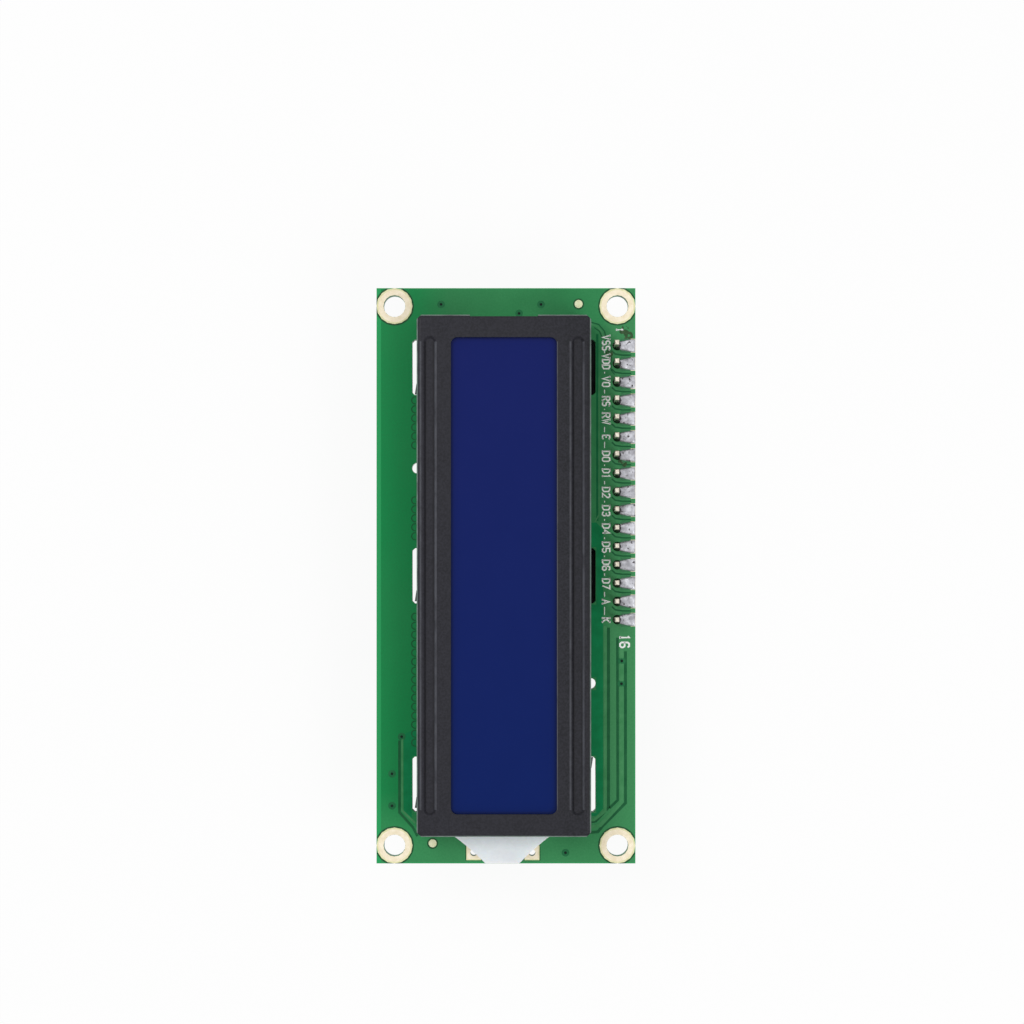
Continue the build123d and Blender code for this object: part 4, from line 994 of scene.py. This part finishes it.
rearFrames = [  # x0, y0, x1, y1 of the open boxes printed round the parts
    (-7.63, -32.68, -4.96, -30.48), (-7.63, -29.78, -4.96, -27.02), (-4.15, -32.68, -1.41, -30.48),
    (-4.15, -29.78, -1.41, -27.02), (11.3, -22.91, 14.07, -20.67), (11.3, -19.98, 14.07, -17.69),
]
rearWords = [  # word, x, y, length, letter height
    ("K", -6.83, -38.24, 1.17, 1.53), ("A", 6.32, -38.34, 1.11, 1.4), ("C2", -6.28, -34.06, 2.21, 1.53),
    ("C1", -2.65, -34.0, 1.79, 1.53), ("U3", -0.23, -23.47, 2.42, 1.67), ("J1", 7.35, -31.75, 1.7, 1.12),
    ("J2", 7.35, -29.27, 1.7, 1.12), ("J3", 7.35, -26.85, 1.7, 1.12), ("R8", 13.77, -24.54, 2.3, 1.53),
    ("C3", -8.71, 21.13, 2.14, 1.53), ("R1", -6.7, 26.93, 2.14, 1.53), ("R2", -4.19, 26.93, 2.28, 1.54),
    ("R3", -1.7, 26.93, 2.28, 1.54), ("U2", -5.93, -17.08, 2.48, 1.67), ("U1", -7.18, 8.19, 2.48, 1.67),
    ("16", 16.77, -8.45, 1.8, 1.39),
]
lineWidth = 0.3


def plusSign(face, x, y, across, along, gap, width):
    for ends in ([(x - across, y), (x + across, y)], [(x, y - along), (x, y - gap)],
                 [(x, y + gap), (x, y + along)]):
        stroke(face, ends, width)


for x in (-6.35, -2.74):
    plusSign("rear", x, -26.2, 0.68, 0.6, 0.1, 0.2)
for x, y in bridges["places"]:
    stroke("rear", arc(x, y, bridges["ring radius"], sides=40), bridges["ring width"], closed=True)
for index, (x0, y0, x1, y1) in enumerate(rearFrames):  # each pair of frames opens towards the other
    first, last = (y1, y0) if index % 2 == 0 else (y0, y1)
    stroke("rear", [(x0, first), (x0, last), (x1, last), (x1, first)], lineWidth)
barTop = inkLevel[1] + 0.004  # the solid bars lie just over the frame lines
for x0, x1 in ((-7.63, -4.96), (-4.15, -1.41)):
    plateOf(inks["rear"], box2(x0 - 0.15, -27.8, x1 + 0.15, -26.86), "rear", inkLevel[0], barTop)
resistorFrames = (
    (-7.24, 21.21, -2.94, 24.79), (-7.53, 28.87, -5.43, 32.3), (-5.18, 28.87, -3.12, 32.3),
    (-2.83, 28.87, -0.73, 32.3),
)
for x0, y0, x1, y1 in resistorFrames:
    stroke("rear", box2(x0, y0, x1, y1), 0.26, closed=True)
plateOf(inks["rear"], box2(-5.47, 21.08, -4.65, 24.92), "rear", inkLevel[0], barTop)
notch = arc(4.43, -29.08, 0.55, 270, 90, 12)[::-1]
chipFrame = [(4.43, -30.5), (-0.92, -30.5), (-0.92, -27.67), (4.43, -27.67), *notch, (4.43, -30.5)]
stroke("rear", chipFrame, lineWidth)
for values, ringWidth in ((blobs["controller"], 0.45), (blobs["driver"], 0.42)):
    outline = arc(values["x"], values["y"], values["radius"] + ringWidth / 2 - 0.02, sides=96)
    stroke("rear", outline, ringWidth, closed=True)
for word, *layout in rearWords:
    letters(word, *layout, "rear")
finished(inks["rear"], "rearLegend", "ink")

adapterInk = {"line": 0.22, "gap": 0.45}
sideFrames = (  # x0, y0, x1, y1 of frames with a gap in the middle of their long sides
    (2.82, -1.74, 7.07, 0.51), (2.82, 0.82, 7.07, 3.05), (2.82, 3.39, 7.07, 5.62), (7.7, 0.22, 11.87, 2.47),
)
for x0, y0, x1, y1 in sideFrames:
    for way, x in ((-1, x0), (1, x1)):
        inner = (x0 + x1) / 2 + way * adapterInk["gap"]
        stroke("adapter", [(inner, y0), (x, y0), (x, y1), (inner, y1)], adapterInk["line"])
for x0, y0, x1, y1 in ((-0.9, 1.3, 1.36, 5.44), (-0.9, 5.71, 1.36, 9.9), (-0.9, 10.14, 1.36, 14.3)):
    for way, y in ((-1, y0), (1, y1)):
        inner = (y0 + y1) / 2 + way * adapterInk["gap"]
        stroke("adapter", [(x0, inner), (x0, y), (x1, y), (x1, inner)], adapterInk["line"])
for y0, y1 in ((21.24, 22.72), (23.67, 25.22), (26.02, 27.57)):
    stroke("adapter", box2(-0.23, y0, 2.64, y1), 0.16, closed=True)
adapterLines = [
    [(9.2, 5.08), (8.1, 5.08)] + arc(8.1, 3.93, 1.15, 90, 270, 14)[1:] + [(9.2, 2.78)],
    [(10.3, 5.08)] + arc(11.27, 3.93, 1.15, 90, -90, 14) + [(10.3, 2.78)],
    [(4.45, -4.21), (2.37, -4.21), (2.37, -2.05), (4.45, -2.05)],
    [(5.3, -4.21), (6.5, -4.21)] + arc(6.5, -3.13, 1.08, -90, 90, 14)[1:-1] + [(6.5, -2.05), (5.3, -2.05)],
    [(10.35, -3.6), (11.6, -3.6), (11.6, -3.1)],
    [(10.35, -0.9), (11.6, -0.9), (11.6, -1.4)],
    [(14.27, -7.43), (14.27, 32.93), (16.6, 32.93)],
    [(2.5, 9.11), (13.0, 9.11), (13.0, 16.7), (2.5, 16.7)],
]
headerLines = [
    [(2.8, 32.97), (2.35, 32.97), (2.35, 30.61), (12.96, 30.61), (12.96, 32.97), (12.5, 32.97)],
    [(6.1, -5.5), (6.1, -4.9), (11.38, -4.9), (11.38, -7.43)],
]
for line in adapterLines:
    stroke("adapter", line, adapterInk["line"])
stroke("adapter", box2(4.96, 20.38, 12.84, 28.0), 0.28, closed=True)
for line in headerLines:
    stroke("adapter", line, adapterInk["line"])
adapterWords = [
    ("POWER", 0.41, -3.16, 3.86, 1.04), ("LED", 12.82, -5.74, 2.29, 1.02),
    ("SCL", 3.83, 29.34, 2.06, 0.86), ("SDA", 6.42, 29.34, 2.06, 0.82), ("VCC", 8.88, 29.34, 2.06, 0.86),
    ("GND", 11.38, 29.34, 2.06, 0.88), ("A0", -0.85, 21.98, 1.48, 1.0), ("A1", -0.85, 24.45, 1.48, 1.0),
    ("A2", -0.85, 26.8, 1.48, 1.0),
]
for word, *layout in adapterWords:
    letters(word, *layout, "adapter")
plusSign("adapter", 1.55, -4.05, 0.55, 0.55, 0.09, 0.18)
finished(inks["adapter"], "adapterLegend", "ink")
print("legends printed")


# trimmer dial
dial = {"x": 8.9, "y": 24.15, "top": -10.64, "tick radius": 2.1, "tick length": 0.42, "tick width": 0.14,
        "ticks": 11}
tickX, tickY = dial["tick length"] / 2, dial["tick width"] / 2
tick = downward(slab(box2(-tickX, -tickY, tickX, tickY), -0.01, 0.02))
tickPlaces = []
for step in range(dial["ticks"]):
    turn = -135 + 27 * step
    x = dial["x"] + dial["tick radius"] * math.cos(math.radians(turn))
    y = dial["y"] + dial["tick radius"] * math.sin(math.radians(turn))
    tickPlaces.append((x, y, dial["top"], turn))
stamp("dialTicks", tick, tickPlaces, "dark", smooth=False)
spots = [(7.15, 22.0, dial["top"], 0.0)]
stamp("dialRing", downward(lathe([(0.5, -0.01), (0.5, 0.012), (0.3, 0.014)], 28)), spots, "dark",
      smooth=False)
stamp("dialDot", downward(lathe([(0.36, 0.0), (0.36, 0.02), (0.2, 0.022)], 28)), spots, "ink", smooth=False)
cross = bmesh.new()
for x, y in ((0.29, 1.3), (1.3, 0.29)):
    outline = box2(dial["x"] - x, dial["y"] - y, dial["x"] + x, dial["y"] + y)
    prism(cross, outline, -10.03, -10.055)
finished(cross, "rotorSlotFloor", "rotorSlot", body="rotor", slot="rotor_grey")
print("dial marked")


# studio
studio = {"camera height": 331.0, "frame width": 142.4, "shift": (0.0059, 0.0623), "floor": -13.2,
          "white share": 0.9, "table share": 0.72, "air": 0.55}
floorMesh = bpy.data.meshes.new("floor")
reach = 2.0  # metres from the middle to each side
floorMesh.from_pydata([(x, y, 0) for x, y in box2(-reach, -reach, reach, reach)], [], [(0, 1, 2, 3)])
floorMesh.transform(Matrix.Translation((0, 0, studio["floor"] * mm)))
floor = bpy.data.objects.new("studioFloor", floorMesh)
scene.collection.objects.link(floor)
floorFinish = Finish("studioPaper", Base_Color=(0.9, 0.9, 0.9, 1), Roughness=0.9)


def rayIs(kind):
    return floorFinish.node("ShaderNodeLightPath", {}, {}, kind)


# white to the camera and in reflections, a light table to the rest, and open from below
glow = floorFinish.node("ShaderNodeEmission", {}, {"Color": (1, 1, 1, 1), "Strength": 1.0})
seen = rayIs("Is Camera Ray") + rayIs("Is Glossy Ray") + rayIs("Is Transmission Ray")
share = seen * (studio["white share"] - studio["table share"]) + studio["table share"]
paper = Wire(floorFinish, floorFinish.shader.outputs[0])
lit = floorFinish.node("ShaderNodeMixShader", {}, {0: share, 1: paper, 2: glow})
behind = floorFinish.node("ShaderNodeNewGeometry", {}, {}, "Backfacing")
clear = floorFinish.node("ShaderNodeBsdfTransparent", {}, {})
sheet = floorFinish.node("ShaderNodeMixShader", {}, {0: behind, 1: lit, 2: clear})
output = next(n for n in floorFinish.tree.nodes if n.type == "OUTPUT_MATERIAL")
floorFinish.tree.links.new(sheet.socket, output.inputs["Surface"])
floorMesh.materials.append(floorFinish.material)

world = bpy.data.worlds.new("studioAir")
scene.world = world
world.use_nodes = True
air = world.node_tree
background = next(n for n in air.nodes if n.type == "BACKGROUND")
paths = air.nodes.new("ShaderNodeLightPath")
direct = air.nodes.new("ShaderNodeMath")
direct.operation = "MAXIMUM"
air.links.new(paths.outputs["Is Camera Ray"], direct.inputs[0])
air.links.new(paths.outputs["Is Transmission Ray"], direct.inputs[1])
white = air.nodes.new("ShaderNodeMath")
white.operation = "MAXIMUM"
air.links.new(direct.outputs[0], white.inputs[0])
air.links.new(paths.outputs["Is Glossy Ray"], white.inputs[1])
level = air.nodes.new("ShaderNodeMapRange")
level.inputs["To Min"].default_value = studio["air"]
level.inputs["To Max"].default_value = 1.0
air.links.new(white.outputs[0], level.inputs["Value"])
air.links.new(level.outputs[0], background.inputs["Strength"])
background.inputs["Color"].default_value = (1, 1, 1, 1)

lamps = {  # place, size and power of the soft boxes
    "keySoftbox": ((-0.28, 0.22, 0.52), 0.34, 1.25),
    "fillSoftbox": ((0.32, -0.28, 0.46), 0.3, 1.15),
}
for name, (place, size, power) in lamps.items():
    light = bpy.data.lights.new(name, "AREA")
    light.size = size
    light.energy = power
    lamp = bpy.data.objects.new(name, light)
    lamp.location = place
    lamp.rotation_euler = (-Vector(place)).to_track_quat("-Z", "Y").to_euler()
    scene.collection.objects.link(lamp)

cameraData = bpy.data.cameras.new("viewCamera")
cameraData.sensor_width = 36.0
cameraData.lens = 36.0 * studio["camera height"] / studio["frame width"]
cameraData.shift_x, cameraData.shift_y = studio["shift"]
cameraData.clip_start = 0.01
cameraData.dof.use_dof = False
camera = bpy.data.objects.new("viewCamera", cameraData)
camera.location = (0, 0, studio["camera height"] * mm)
scene.collection.objects.link(camera)
scene.camera = camera
scene.view_settings.view_transform = "Standard"
print("studio ready")
